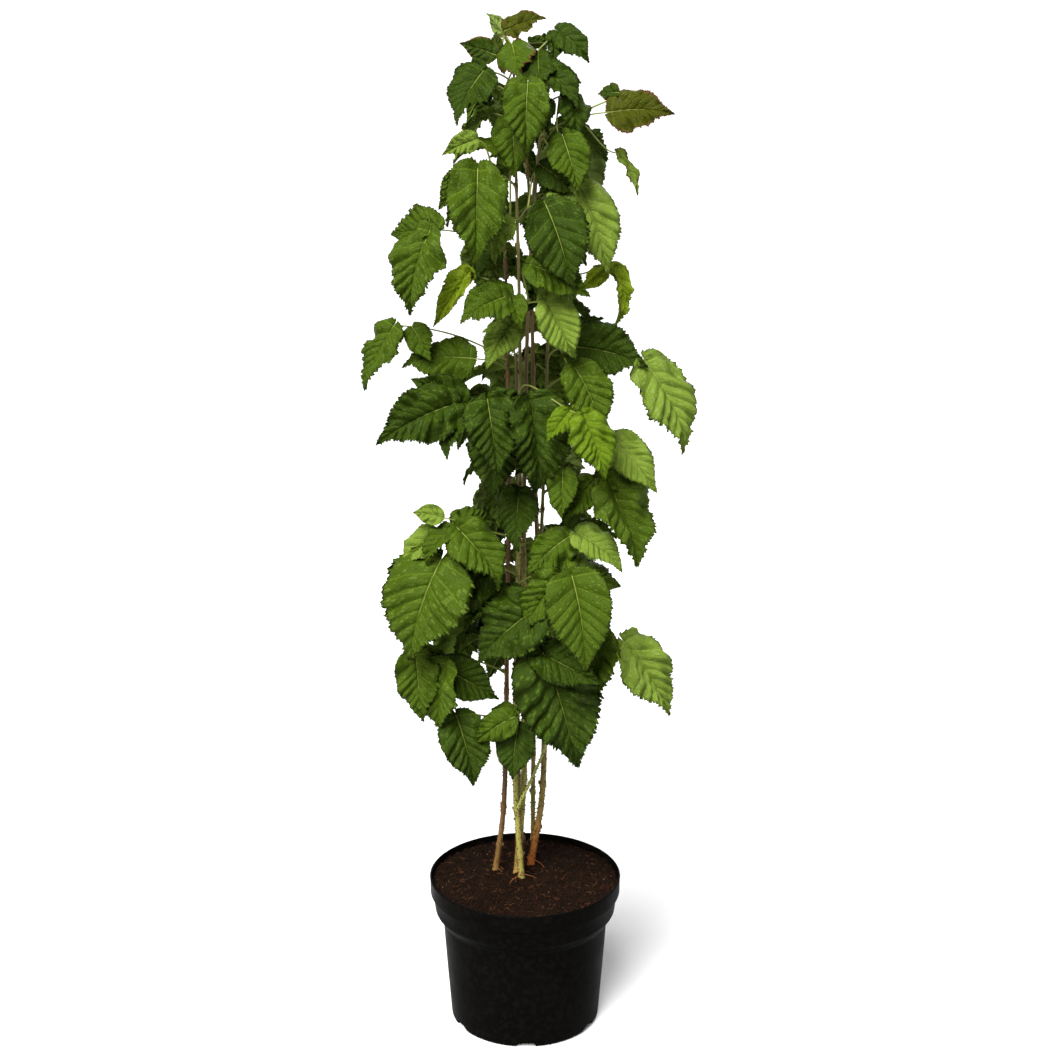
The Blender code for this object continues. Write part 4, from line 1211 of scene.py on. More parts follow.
def blade_faces(inner, vein):
    # Upper and lower faces of a blade, which share the margin, and their kinds: 0 blade, 1 vein,
    # 2 underside, 3 edge
    rows, columns = inner.shape
    index = np.arange(rows * columns).reshape(rows, columns)
    below = index.copy()
    below[inner] = rows * columns + np.arange(inner.sum())
    tips = rows * columns + inner.sum() + np.arange(2 * (rows - 1)).reshape(2, rows - 1)
    ribs = np.zeros((rows - 1, columns - 1), int)
    ribs[vein, :] = 1
    middle = columns // 2
    ribs[:-2, middle - 1:middle + 1] = 1
    edge = np.where(ribs[:, 0] == 1, 1, 3)
    kinds = [ribs[:, 1:-1].ravel(), np.full(ribs[:, 1:-1].size, 2), edge, edge, np.full(2 * (rows - 1), 2)]
    quads = []
    for grid in (index, below):
        corners = [grid[:-1, 1:-2], grid[1:, 1:-2], grid[1:, 2:-1], grid[:-1, 2:-1]]
        quads.append(np.stack(corners if grid is index else corners[::-1], -1).reshape(-1, 4))
    fives = []
    for grid in (index, below):
        left = [grid[:-1, 0], tips[0], grid[1:, 0], grid[1:, 1], grid[:-1, 1]]
        right = [grid[:-1, -2], grid[1:, -2], grid[1:, -1], tips[1], grid[:-1, -1]]
        for corners in (left, right):
            fives.append(np.stack(corners if grid is index else corners[::-1], -1))
    return (np.concatenate(quads), np.concatenate(fives)), np.concatenate(kinds)


def face_lists(faces, first):
    # The faces of a piece as lists of corners, counted on from the first
    if isinstance(faces, tuple):
        return [corners for block in faces for corners in (block + first).tolist()]
    return [[corner + first for corner in face] for face in faces]


def join_mesh(name, pieces, materials):
    # One object from pieces of vertices, faces and material numbers
    verts = []
    faces = []
    kinds = []
    first = 0
    for piece_verts, piece_faces, piece_kinds in pieces:
        verts.append(piece_verts)
        faces += face_lists(piece_faces, first)
        kinds.append(piece_kinds)
        first += len(piece_verts)
    mesh = new_mesh(name, np.concatenate(verts).tolist(), faces)
    for material in materials:
        mesh.materials.append(material)
    mesh.polygons.foreach_set("material_index", np.concatenate(kinds).astype(np.int32))
    smooth_faces(mesh)
    mesh.update()
    return put_in_scene(name, mesh)


# Twigs and ribs

def stalk_mesh(points, radii, sides):
    # A tube in the form that join_mesh takes
    verts, faces = tube(points, radii, sides)
    return np.array([tuple(v) for v in verts]), faces, np.zeros(len(faces), int)


def rib_points(leaf, habit, neck, shares):
    # Points just under the midrib of a leaflet
    point, normal, side = midrib_frames(leaf, np.array(shares), habit["turn"])
    droop = leaf["length"] * habit["droop"] * np.clip(np.array(shares) - 0.6, 0, 1) ** 2
    skew = leaf["length"] * habit["skew"] * np.array(shares) * (1 - np.array(shares))
    under = point - normal * (RIB_DROP + droop)[:, None] + side * skew[:, None]
    return [Vector(p) for p in under]


def petiole_mesh(leaf_row, habit):
    # From inside the cane along the petiole, then on under the midrib of the end leaflet
    curve, way = leaf_row["curve"], leaf_row["way"]
    points = [curve_point(curve, k / PETIOLE_STEPS) for k in range(PETIOLE_STEPS + 1)]
    thick = [PETIOLE_RADIUS + (PETIOLE_TIP_RADIUS - PETIOLE_RADIUS) * k / PETIOLE_STEPS
             for k in range(PETIOLE_STEPS + 1)]
    if way is not None:
        points.insert(0, curve[0] - way * PETIOLE_ROOT)
        thick.insert(0, PETIOLE_RADIUS * PETIOLE_FLARE)
        thick[1] = PETIOLE_RADIUS * PETIOLE_FLARE
        thick[2] = PETIOLE_RADIUS * PETIOLE_NECK
    points += rib_points(leaf_row["end"], habit, 0, END_RIB)
    thick += [PETIOLE_TIP_RADIUS * (1 - 0.82 * s) for s in END_RIB]
    return stalk_mesh(points, thick, STALK_SIDES)


def side_stalk_mesh(leaf, habit):
    points = rib_points(leaf, habit, SIDE_NECK, SIDE_RIB)
    points[0] = Vector(leaf["base"])
    thick = [PETIOLE_TIP_RADIUS * 0.8 * (1 - 0.8 * s) for s in SIDE_RIB]
    return stalk_mesh(points, thick, STALK_SIDES)


def stipule_meshes(leaf_row, rng):
    # Two narrow young leaves at the foot of a petiole that leaves a cane
    out = []
    if leaf_row["way"] is None:
        return out
    heading = math.degrees(math.atan2(leaf_row["way"].y, leaf_row["way"].x))
    for sign in (-1, 1):
        size = rng.uniform(*STIPULE_LENGTHS)
        dip = rng.uniform(20, 60)
        blade = leaflet(leaf_row["curve"][0], heading + sign * 50, dip, size, size * STIPULE_WIDTH, 0, 30)
        verts, faces = leaflet_solid(blade)
        out.append((np.array([tuple(v) for v in verts]), faces, np.zeros(len(faces), int)))
    return out


# Geometry node trees

def tree_with(name, inputs):
    # A new geometry tree with a mesh in, a mesh out and named inputs, and the sockets that hand these on
    tree = bpy.data.node_groups.new(name, "GeometryNodeTree")
    tree.interface.new_socket(name="Mesh", in_out="INPUT", socket_type="NodeSocketGeometry")
    for label, kind, value in inputs:
        socket = tree.interface.new_socket(name=label, in_out="INPUT", socket_type="NodeSocket" + kind)
        if value is not None:
            socket.default_value = value
    tree.interface.new_socket(name="Mesh", in_out="OUTPUT", socket_type="NodeSocketGeometry")
    return tree, add_node(tree, "NodeGroupInput")


def finish_tree(tree, mesh, material):
    # Makes instances real, sets the material and hands the mesh out
    real = add_node(tree, "GeometryNodeRealizeInstances", {"Geometry": mesh})["Geometry"]
    done = add_node(tree, "GeometryNodeSetMaterial", {"Geometry": real, "Material": material})["Geometry"]
    add_node(tree, "NodeGroupOutput", {"Mesh": done})


def height_between(tree, lowest, highest):
    # True where a point lies above one height and below another
    place = add_node(tree, "GeometryNodeInputPosition")["Position"]
    height = add_node(tree, "ShaderNodeSeparateXYZ", {"Vector": place})["Z"]
    above = add_node(tree, "FunctionNodeCompare", {"A": height, "B": lowest}, operation="GREATER_THAN")
    below = add_node(tree, "FunctionNodeCompare", {"A": height, "B": highest}, operation="LESS_THAN")
    both = add_node(tree, "FunctionNodeBooleanMath", {0: above["Result"], 1: below["Result"]})
    return both["Boolean"]


def random_turn(tree, tilt):
    # Any turn about the normal, and a lean of up to the tilt
    back = add_node(tree, "ShaderNodeMath", {0: tilt, 1: -1.0}, operation="MULTIPLY")["Value"]
    least = add_node(tree, "ShaderNodeCombineXYZ", {"X": back, "Y": back})["Vector"]
    most = add_node(tree, "ShaderNodeCombineXYZ", {"X": tilt, "Y": tilt, "Z": math.tau})["Vector"]
    return add_node(tree, "FunctionNodeRandomValue", {0: least, 1: most}, data_type="FLOAT_VECTOR")[0]


def scatter_tree():
    # Small shapes set on a surface, each turned about the surface's normal
    tree, given = tree_with("scatter", [
        ("Shape", "Object", None), ("Density", "Float", 100.0), ("Least Size", "Float", 0.7),
        ("Most Size", "Float", 1.3), ("Tilt", "Float", 0.2), ("Seed", "Int", 1), ("Lowest", "Float", 0.0),
        ("Highest", "Float", 2.0), ("Finish", "Material", None)])
    seed = given["Seed"]
    spots = add_node(tree, "GeometryNodeDistributePointsOnFaces", {
        "Mesh": given["Mesh"], "Density": given["Density"], "Seed": seed,
        "Selection": height_between(tree, given["Lowest"], given["Highest"])})
    shape = add_node(tree, "GeometryNodeObjectInfo", {"Object": given["Shape"]})["Geometry"]
    size = add_node(tree, "FunctionNodeRandomValue", {2: given["Least Size"], 3: given["Most Size"],
                                                      "Seed": seed}, data_type="FLOAT")[1]
    turn = add_node(tree, "FunctionNodeRotateRotation", {
        "Rotation": spots["Rotation"], "Rotate By": random_turn(tree, given["Tilt"])}, rotation_space="LOCAL")
    copies = add_node(tree, "GeometryNodeInstanceOnPoints", {
        "Points": spots["Points"], "Instance": shape, "Rotation": turn["Rotation"], "Scale": size})
    finish_tree(tree, copies["Instances"], given["Finish"])
    return tree


def cane_tree():
    # A round stem along a line of points that carry their thickness, with bark relief on it
    tree, given = tree_with("stem_along_route", [
        ("Sides", "Int", 20), ("Relief", "Float", 0.0003), ("Grain", "Float", 300.0), ("Seed", "Float", 1.0),
        ("Finish", "Material", None)])
    line = add_node(tree, "GeometryNodeMeshToCurve", {"Mesh": given["Mesh"]})["Curve"]
    thick = add_node(tree, "GeometryNodeInputNamedAttribute", {"Name": "thickness"}, data_type="FLOAT")
    ring = add_node(tree, "GeometryNodeCurvePrimitiveCircle", {"Radius": 1.0, "Resolution": given["Sides"]})
    skin = add_node(tree, "GeometryNodeCurveToMesh", {
        "Curve": line, "Profile Curve": ring["Curve"], "Scale": thick["Attribute"], "Fill Caps": True})
    grain = add_node(tree, "ShaderNodeTexNoise", {"Scale": given["Grain"], "W": given["Seed"]},
                     noise_dimensions="4D")["Fac"]
    centred = add_node(tree, "ShaderNodeMath", {0: grain, 1: 0.5}, operation="SUBTRACT")["Value"]
    depth = add_node(tree, "ShaderNodeMath", {0: centred, 1: given["Relief"]}, operation="MULTIPLY")["Value"]
    normal = add_node(tree, "GeometryNodeInputNormal")["Normal"]
    push = add_node(tree, "ShaderNodeVectorMath", {"Vector": normal, "Scale": depth}, operation="SCALE")
    moved = add_node(tree, "GeometryNodeSetPosition", {"Geometry": skin["Mesh"], "Offset": push["Vector"]})
    finish_tree(tree, moved["Geometry"], given["Finish"])
    return tree


def grow(name, mesh, tree, values):
    # Runs a tree on a mesh and keeps the result as a plain object
    source = put_in_scene(name + "_source", mesh)
    modifier = source.modifiers.new("grow", "NODES")
    modifier.node_group = tree
    for socket in tree.interface.items_tree:
        if socket.in_out == "INPUT" and socket.name in values:
            modifier[socket.identifier] = values[socket.name]
    result = evaluated_mesh(source)
    bpy.data.objects.remove(source)
    for slot in reversed(range(len(result.materials))):
        if result.materials[slot] is None:
            result.materials.pop(index=slot)
    result.name = name
    smooth_faces(result)
    return put_in_scene(name, result)


def joined_objects(name, items):
    # Joins finished objects into one, keeping their materials
    with bpy.context.temp_override(active_object=items[0], selected_editable_objects=items, object=items[0]):
        bpy.ops.object.join()
    items[0].name = name
    items[0].data.name = name
    return items[0]


# Canes

def cane_line(name):
    # Close points up a cane with its thickness, swollen at the foot and at each node
    route = cane_route(name, CANE_FINE_STEPS)[0]
    foot_radius, tip_radius, stations = CANES[name]
    rng = random.Random(sum(map(ord, name)))
    foot, tip = route[0].z, route[-1].z
    node_heights = []
    height = foot + rng.uniform(*FIRST_NODE)
    while height < tip:
        node_heights.append(height)
        height += rng.uniform(*NODE_SPACING)
    thick = []
    for point in route:
        share = (point.z - foot) / (tip - foot)
        radius = (foot_radius + (tip_radius - foot_radius) * share) * MM
        radius *= 1 + (CANE_FLARE - 1) * math.exp(-(point.z - foot) / FLARE_HEIGHT)
        for node in node_heights:
            radius += NODE_SWELL * math.exp(-((point.z - node) / NODE_LENGTH) ** 2)
        thick.append(radius)
    root = route[0] + (route[0] - route[1]).normalized() * CANE_ROOT
    return [root, *route], [thick[0] * CANE_ROOT_FLARE, *thick], node_heights


def line_mesh(name, points, thick):
    # A line of edges whose points carry their thickness
    mesh = new_mesh(name, points, [], [(k, k + 1) for k in range(len(points) - 1)])
    layer = mesh.attributes.new("thickness", "FLOAT", "POINT")
    layer.data.foreach_set("value", thick)
    return mesh


def bud_meshes(points, thick, node_heights, seed):
    # A pointed bud at each node, swollen near its foot, on a new side each time
    rng = random.Random(seed)
    out = []
    for n, height in enumerate(node_heights):
        found = cane_at(points, thick, height)
        if found is None:
            continue
        centre, radius = found
        way = direction(BUD_TURN * n + rng.uniform(-20, 20), 0)
        foot = centre + way * (radius - BUD_SINK)
        tip = foot + way * BUD_SIZE * 0.75 + UP * BUD_SIZE
        spine = [foot - UP * BUD_SIZE * 0.5, foot + way * 0.3 * BUD_SIZE, foot.lerp(tip, 0.6), tip]
        out.append(stalk_mesh(spine, [BUD_SIZE * share for share in BUD_SWELL], STALK_SIDES))
    return out


# Pot and compost

def arc_points(centre, radius, start, end, steps):
    # Points on an arc of the profile, from one angle to another
    angles = [math.radians(start + (end - start) * step / steps) for step in range(steps + 1)]
    return [(centre[0] + radius * math.cos(angle), centre[1] + radius * math.sin(angle)) for angle in angles]


def fine_pot_profile():
    # The part's profile with a rounded lip, a bead under it and softer bends
    base = POT_BASE_DIAMETER / 2
    corner = POT_CORNER_RADIUS
    body = POT_BODY_TOP_DIAMETER / 2
    shoulder = POT_SHOULDER_TOP_DIAMETER / 2
    lip = POT_LIP_BOTTOM_DIAMETER / 2
    rim = POT_RIM_DIAMETER / 2
    rise = POT_SHOULDER_TOP - POT_BODY_TOP
    outside = [(0, 0), (base * 0.5, 0)]
    outside += arc_points((base - corner, corner), corner, -90, 0, POT_BEND_STEPS)
    outside.append((base + 0.5 * (body - base), POT_BODY_TOP * 0.5))
    for step in range(POT_BEND_STEPS + 1):
        share = step / POT_BEND_STEPS
        ease = share * share * (3 - 2 * share)
        outside.append((body + (shoulder - body) * ease, POT_BODY_TOP + rise * share))
    outside += [
        (lip - 0.1 * MM, POT_LIP_BOTTOM - 0.6 * MM),
        (lip + 0.3 * MM, POT_LIP_BOTTOM),
        (rim - 0.9 * MM, POT_LIP_BOTTOM + 1.2 * MM),
        (rim - 0.6 * MM, POT_LIP_BOTTOM + 2.0 * MM),
        (rim - 0.4 * MM, POT_HEIGHT - 3.4 * MM),
    ]
    outside += arc_points((rim - LIP_RADIUS, POT_HEIGHT - LIP_RADIUS), LIP_RADIUS, -20, 200, POT_LIP_STEPS)
    inside = [
        (rim - POT_WALL - 0.3 * MM, POT_HEIGHT - 3.5 * MM),
        (lip - POT_WALL, POT_LIP_BOTTOM),
        (shoulder - POT_WALL, POT_SHOULDER_TOP),
        (body - POT_WALL, POT_BODY_TOP + POT_INNER_STEP),
        (base - corner * 0.3 - POT_WALL, POT_FLOOR + NOTCH_HEIGHT + 2 * MM),
        (base - corner - NOTCH_DEPTH, POT_FLOOR + NOTCH_HEIGHT + 1 * MM),
        (base - corner - NOTCH_DEPTH - 6 * MM, POT_FLOOR),
        (0, POT_FLOOR),
    ]
    return outside + inside


def build_pot(material):
    # The turned pot with the drainage notches cut out of its foot
    pot = plain_object("nursery_pot", *lathe(fine_pot_profile(), POT_FINE_SIDES), material)
    cutter = plain_object("notch_cutter", *notch_cutter(), material)
    cut = pot.modifiers.new("notches", "BOOLEAN")
    cut.operation = "DIFFERENCE"
    cut.solver = "EXACT"
    cut.object = cutter
    mesh = evaluated_mesh(pot)
    pot.modifiers.remove(cut)
    pot.data = mesh
    mesh.name = "nursery_pot"
    bpy.data.objects.remove(cutter)
    smooth_faces(mesh)
    mesh.set_sharp_from_angle(angle=math.radians(SHARP_ANGLE))
    return pot


def plain_object(name, verts, faces, material):
    # An object with one material
    mesh = new_mesh(name, verts, faces)
    mesh.validate()
    mesh.materials.append(material)
    return put_in_scene(name, mesh)


def compost_height(x, y, feet):
    # Uneven ground in the pot: lumps, and small mounds where canes come up
    height = COMPOST_TOP + noise.fractal(Vector((x, y, 0)) * LUMP_SCALE, 0.9, 2.0, 5) * LUMP_HEIGHT
    for foot in feet:
        gap = math.hypot(x - foot.x, y - foot.y)
        height += MOUND_HEIGHT * math.exp(-(gap / MOUND_REACH) ** 2)
    return height


def band(low, high, sides):
    # Faces that join two rings of points
    return [(low + i, high + i, high + (i + 1) % sides, low + (i + 1) % sides) for i in range(sides)]


def build_compost(material, feet):
    # Rings of points out to the pot's wall, and a skirt that closes the underside
    lip = POT_LIP_BOTTOM_DIAMETER / 2
    rim = POT_RIM_DIAMETER / 2
    share = (COMPOST_TOP - POT_LIP_BOTTOM) / (POT_HEIGHT - POT_LIP_BOTTOM)
    edge = lip + (rim - lip) * share - POT_WALL - 0.1 * MM
    spokes = COMPOST_SPOKES
    verts = [(0, 0, compost_height(0, 0, feet))]
    for r in range(1, COMPOST_RINGS + 1):
        radius = edge * r / COMPOST_RINGS
        for i in range(spokes):
            angle = math.tau * (i + 0.5 * (r % 2)) / spokes
            x, y = radius * math.cos(angle), radius * math.sin(angle)
            verts.append((x, y, compost_height(x, y, feet)))
    faces = [(0, 1 + i, 1 + (i + 1) % spokes) for i in range(spokes)]
    for r in range(COMPOST_RINGS - 1):
        faces += band(1 + r * spokes, 1 + (r + 1) * spokes, spokes)
    skirt = [(x * SKIRT_SHARE, y * SKIRT_SHARE, COMPOST_TOP - COMPOST_SKIN) for x, y, z in verts[-spokes:]]
    faces += band(len(verts) - spokes, len(verts), spokes)
    faces.append(tuple(reversed(range(len(verts), len(verts) + spokes))))
    item = plain_object("compost_surface", verts + skirt, faces, material)
    smooth_faces(item.data)
    return item


def crumb_shape(name, seed, length, breadth, sides, rings):
    # A small rough lump or bit, lying along X
    rng = random.Random(seed)
    points = []
    radii = []
    for k in range(rings):
        share = k / (rings - 1)
        points.append(Vector(((share - 0.5) * length, rng.uniform(-0.12, 0.12) * length,
                              breadth * 0.2 + rng.uniform(-0.1, 0.1) * breadth)))
        fullness = 0.25 + 0.75 * math.sin(math.pi * (0.12 + 0.76 * share))
        radii.append(breadth / 2 * fullness * rng.uniform(0.8, 1.2))
    return put_in_scene(name, new_mesh(name, *tube(points, radii, sides)))


def prickle_shape():
    # A slim thorn with a broad foot, pointing away from the surface
    length = PRICKLE_LENGTH
    points = [Vector((lean * length, 0, rise * length)) for lean, rise, swell in PRICKLE_SPINE]
    radii = [PRICKLE_FOOT * swell for lean, rise, swell in PRICKLE_SPINE]
    return put_in_scene("prickle", new_mesh("prickle", *tube(points, radii, 4)))


# Putting the plant together

def leaf_materials():
    # Three materials for each tone, for the upper side, the veins and the underside, and one for red edges
    # The tones are darker and lighter copies of one green, partly painted shade and painted light
    out = {}
    for tone, (upper, vein, under) in TONES.items():
        out[tone] = [make_material("leaf_" + tone, upper, LEAF_UPPER_FINISH, 0.09, QUILTING),
                     make_material("veins_" + tone, vein, LEAF_UPPER_FINISH, 0.08, QUILTING),
                     make_material("underside_" + tone, under, LEAF_UNDER_FINISH, 0.05, QUILTING)]
    out["red"] = make_material("leaf_red_edge", RED_EDGE, LEAF_UPPER_FINISH, 0.08, QUILTING)
    return out


def tone_of(name, number, row, rng):
    # The tone of one leaf, now and then swapped for a near one
    # The listed tones are partly painted shade on leaves in shadow and painted light on leaves in the light
    if name.startswith("inner"):
        tones = [INNER_TONES_AND_SHADE[number % len(INNER_TONES_AND_SHADE)]]
    else:
        tones = SPRAY_TONES_AND_SHADE.get(name, BACK_TONES[number % len(BACK_TONES)]).split()
    tone = tones[min(row, len(tones) - 1)]
    swap = rng.random() < TONE_SHIFT_SHARE and name not in SPRAY_TONES_AND_SHADE
    return NEAR_TONES[tone] if swap else tone


def inner_shoots():
    # Rows for sprays close round the canes, in the form of the other shoots, clear of the bare spans in front
    rng = random.Random(INNER_SEED)
    shoots = {}
    for n in range(INNER_SHOOTS):
        height = INNER_LOWEST + (INNER_HIGHEST - INNER_LOWEST) * n / (INNER_SHOOTS - 1)
        heading = INNER_TURN * n % 360
        out = rng.uniform(*INNER_OUT)
        length = rng.uniform(*INNER_LENGTHS)
        dip = rng.uniform(*INNER_DIPS)
        sides = rng.choice(("", "l", "r", "lr"))
        reach = crown_half_width(height) * INNER_REACH
        out = min(out, reach * INNER_OUT_SHARE)
        length = min(length, (reach - out) / math.cos(math.radians(dip)))
        x = INNER_MIDDLE[0] + out * math.cos(math.radians(heading))
        y = INNER_MIDDLE[1] + out * math.sin(math.radians(heading))
        bare = any(low < height < high for low, high in BARE_SPANS) and heading > 180
        if not bare:
            shoots["inner_%02d" % n] = [(x, y, height, heading, dip, length, sides)]
    return shoots


def plan_inner(canes, crown):
    # The inner sprays, clear of the canes and of the whole crown
    placed = [tree_of(tube(route, radii, CANE_SIDES)) for route, radii in canes.values()]
    placed += [tree_of(solid) for leaves in crown.values() for solid in shoot_solids(leaves)]
    inner = {}
    for seed, (name, rows) in enumerate(inner_shoots().items()):
        leaves = plan_shoot(rows, INNER_SEED + seed, canes, placed, INNER_FACING)
        if leaves:
            inner[name] = leaves
            placed += [tree_of(solid) for solid in shoot_solids(leaves)]
    return inner


def fill_tiers(crown, inner):
    # The blades, twigs and part nodes of each height tier. A blade's kinds become slot numbers by its tone.
    order = list(TONES)
    red = 3 * len(order)
    tiers = [{"blades": [], "twigs": [], "nodes": []} for top in TIER_TOPS]
    for number, (name, leaves) in enumerate({**crown, **inner}.items()):
        rng = random.Random(HABIT_SEED + number)
        height = leaves[0]["end"]["base"].z / CM
        tier = tiers[next(k for k, top in enumerate(TIER_TOPS) if height < top)]
        if name not in inner:
            tier["nodes"].append(name)
        for place, row in enumerate(leaves):
            for k, leaf in enumerate([row["end"], *row["beside"]]):
                neck = SIDE_NECK if k else 0.0
                habit = calm_habit(leaf, leaf_habit(leaf, name, place, rng), neck)
                first = 3 * order.index(tone_of(name, number, place, rng))
                verts, faces, kinds = blade_mesh(leaf, habit, neck)
                edge = red if name in RED_EDGED else first
                tier["blades"].append((verts, faces, np.array([first, first + 1, first + 2, edge])[kinds]))
                tier["twigs"].append(side_stalk_mesh(leaf, habit) if k else petiole_mesh(row, habit))
            tier["twigs"] += stipule_meshes(row, rng)
    return tiers


def build_foliage(crown, inner, materials):
    # Blades of each height tier in one piece, and their twigs in another
    slots = [material for tone in TONES for material in materials[tone]] + [materials["red"]]
    tiers = fill_tiers(crown, inner)
    stem = make_material("young_stem", STEM_GREEN, STEM_FINISH)
    for k, tier in enumerate(tiers):
        if not tier["nodes"]:
            continue
        blades = join_mesh("leaf_blades_%d" % (k + 1), tier["blades"], slots)
        twigs = join_mesh("leaf_stalks_%d" % (k + 1), tier["twigs"], [stem])
        for piece in (blades, twigs):
            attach(piece, "root")
            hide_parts(*tier["nodes"])


def build_canes():
    # The canes and the young shoot, and their buds. Gives back the surfaces that carry prickles.
    tree = cane_tree()
    surfaces = [build_young_shoot(tree)]
    buds = []
    for n, name in enumerate(CANES):
        points, thick, nodes = cane_line(name)
        material = cane_material(name + "_skin", *CANE_COLOURS[name])
        piece = grow(name + "_bark", line_mesh(name + "_line", points, thick), tree,
                     {"Sides": CANE_FINE_SIDES, "Relief": CANE_RELIEF, "Grain": CANE_GRAIN, "Seed": float(n),
                      "Finish": material})
        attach(piece, "root")
        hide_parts(name)
        surfaces.append(piece.data)
        buds += bud_meshes(points, thick, nodes, n)
    piece = join_mesh("cane_buds", buds, [make_material("bud_brown", BUD_BROWN, BUD_FINISH)])
    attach(piece, "root")
    return surfaces


def build_young_shoot(tree):
    # A pale side shoot that leans across the canes from a node near the foot
    route = smooth_route([Vector(station) * CM for station in YOUNG_SHOOT], YOUNG_SHOOT_STEPS)
    first, last = YOUNG_SHOOT_RADII
    thick = [(first + (last - first) * k / (len(route) - 1)) * MM for k in range(len(route))]
    material = make_material("young_shoot_skin", YOUNG_GREEN, YOUNG_FINISH)
    piece = grow("young_shoot", line_mesh("young_shoot_line", route, thick), tree,
                 {"Sides": YOUNG_SHOOT_SIDES, "Relief": CANE_RELIEF, "Grain": CANE_GRAIN,
                  "Seed": YOUNG_SHOOT_SEED, "Finish": material})
    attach(piece, "root")
    return piece.data


def build_rootlets():
    # Fine reddish roots that arch out of the compost beside the canes
    rng = random.Random(ROOTLET_SEED)
    feet = [cane_route(name, 1)[0][0] for name in CANES]
    pieces = []
    for n in range(ROOTLETS):
        foot = feet[n % len(feet)]
        heading = rng.uniform(0, 360)
        reach = rng.uniform(*ROOTLET_REACH)
        rise = rng.uniform(*ROOTLET_RISE)
        side = direction(heading + 90, 0) * rng.uniform(-0.3, 0.3) * reach
        far = foot + direction(heading, 0) * reach
        arch = [foot.lerp(far, out) + UP * rise * up + side * aside for out, up, aside in ROOTLET_ARCH]
        route = smooth_route([*arch, far - UP * ROOTLET_DEPTH], ROOTLET_STEPS)
        radii = [ROOTLET_RADIUS * (1 - ROOTLET_TAPER * k) for k in range(len(route))]
        pieces.append(stalk_mesh(route, radii, 6))
    brown = make_material("rootlet_brown", ROOTLET_BROWN, ROOTLET_FINISH, 0.2)
    piece = join_mesh("surface_roots", pieces, [brown])
    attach(piece, "root")


def build_prickles(surfaces, scatter):
    brown = make_material("prickle_brown", PRICKLE_BROWN, PRICKLE_FINISH, 0.1)
    shape = prickle_shape()
    grown = [grow("prickles_%d" % n, mesh.copy(), scatter, {
        "Shape": shape, "Density": float(PRICKLE_DENSITY), "Least Size": 0.5, "Most Size": 1.15,
        "Tilt": 0.25, "Seed": PRICKLE_SEED + n, "Lowest": COMPOST_TOP + 0.4 * CM, "Highest": PRICKLE_TOP,
        "Finish": brown}) for n, mesh in enumerate(surfaces)]
    bpy.data.objects.remove(shape)
    piece = joined_objects("cane_prickles", grown)
    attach(piece, "root")


def build_crumbs(surface, scatter):
    # Loose bits of each kind, strewn over the compost
    for seed, (name, row) in enumerate(CRUMBS.items(), 1):
        length, breadth, sides, rings, colour, density, least, most, tilt = row
        shape = crumb_shape(name + "_shape", seed, length * MM, breadth * MM, sides, rings)
        piece = grow(name, surface.data.copy(), scatter, {
            "Shape": shape, "Density": float(density), "Least Size": least, "Most Size": most, "Tilt": tilt,
            "Seed": seed, "Lowest": COMPOST_TOP - CRUMB_DEPTH, "Highest": 1.0,
            "Finish": make_material(name, colour, CRUMB_FINISH, 0.05)})
        bpy.data.objects.remove(shape)
        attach(piece, "root")


def build_pot_and_compost(scatter):
    black = make_material("pot_plastic", POT_BLOTCHES[0], POT_FINISH, 0.012)
    paint(black, POT_BLOTCHES)
    pot = build_pot(black)
    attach(pot, "root")
    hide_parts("pot")
    soil = make_material("compost_soil", SOIL_BLOTCHES[0], SOIL_FINISH, 0.05)
    paint(soil, SOIL_BLOTCHES)
    surface = build_compost(soil, [cane_route(name, 1)[0][0] for name in CANES])
    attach(surface, "root")
    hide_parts("compost")
    build_crumbs(surface, scatter)


# Studio

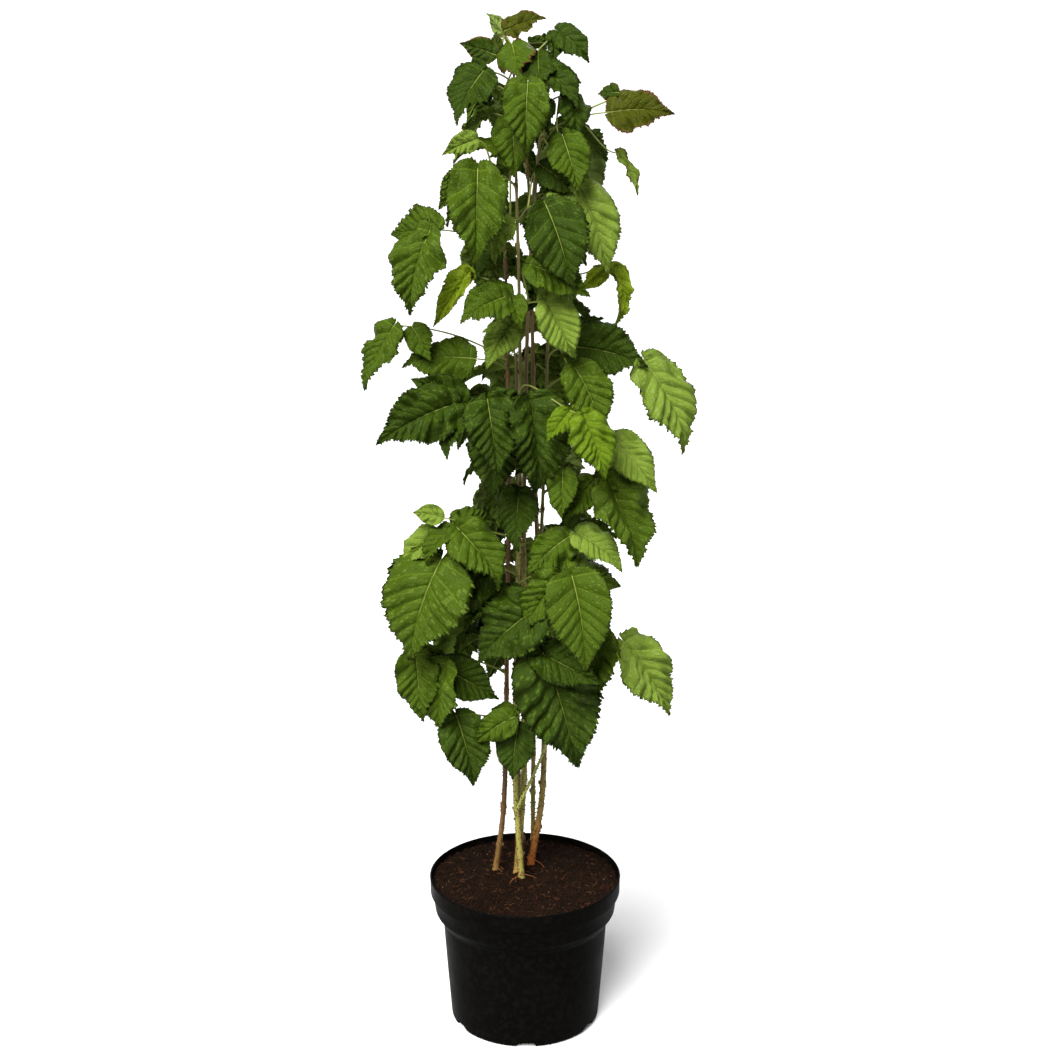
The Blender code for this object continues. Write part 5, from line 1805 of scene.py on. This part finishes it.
def build_lights():
    # Softboxes that face the middle of the plant, and a broad sun
    for name, (place, aim, size, power) in SOFTBOXES.items():
        lamp = bpy.data.lights.new(name, "AREA")
        lamp.shape = "RECTANGLE"
        lamp.size, lamp.size_y = size
        lamp.energy = power
        item = put_in_scene(name, lamp)
        item.location = place
        item.rotation_euler = (Vector((0, 0, aim)) - Vector(place)).to_track_quat("-Z", "Y").to_euler()
    sun = bpy.data.lights.new("overhead", "SUN")
    sun.angle = math.radians(SUN_SPREAD)
    sun.energy = SUN_POWER
    put_in_scene("overhead", sun).rotation_euler = (math.radians(SUN_TILT), 0, math.radians(SUN_TURN))


def build_studio():
    # A pale floor and room, which the plant itself sees darker than the camera does
    corners = [(x * FLOOR_REACH, y * FLOOR_REACH, 0) for x, y in ((-1, -1), (1, -1), (1, 1), (-1, 1))]
    floor = put_in_scene("floor", new_mesh("floor", corners, [(0, 1, 2, 3)]))
    pale = bpy.data.materials.new("floor_paper")
    pale.use_nodes = True
    tree = pale.node_tree
    seen = add_node(tree, "ShaderNodeLightPath")["Is Camera Ray"]
    tint = mix_colours(tree, seen, FLOOR_BOUNCE, FLOOR_PALE)
    feed(tree, tree.nodes["Principled BSDF"], {"Base Color": tint, "Roughness": 0.9})
    floor.data.materials.append(pale)
    world = bpy.data.worlds.new("studio")
    bpy.context.scene.world = world
    world.use_nodes = True
    tree = world.node_tree
    seen = add_node(tree, "ShaderNodeLightPath")["Is Camera Ray"]
    glow = add_node(tree, "ShaderNodeMapRange", {"Value": seen, "To Min": ROOM_GLOW, "To Max": ROOM_SEEN})
    feed(tree, tree.nodes["Background"], {"Color": (1.0, 1.0, 1.0), "Strength": glow["Result"]})
    build_lights()


def build_camera():
    lens = bpy.data.cameras.new("camera")
    lens.sensor_width = SENSOR
    lens.lens = SENSOR * FOCAL_PIXELS / FRAME_PIXELS
    camera = put_in_scene("camera", lens)
    camera.location = CAMERA_PLACE
    camera.rotation_euler = (math.radians(90 - CAMERA_PITCH), 0, 0)
    bpy.context.scene.camera = camera


def main():
    canes = {name: cane_route(name, CANE_STEPS_PER_SPAN) for name in CANES}
    crown = plan_crown(canes)
    build_foliage(crown, plan_inner(canes, crown), leaf_materials())
    surfaces = build_canes()
    build_rootlets()
    scatter = scatter_tree()
    build_prickles(surfaces, scatter)
    build_pot_and_compost(scatter)
    build_studio()
    build_camera()
    bpy.context.scene.view_settings.view_transform = "Standard"


SKIN = make_skin_group()
QUILTING = make_quilting_group()
BLOTCHES = make_blotch_group()
TEMPLATES = [blade_template(row[1], row[2], seed) for seed, row in enumerate(TEMPLATES_WANTED)]
main()
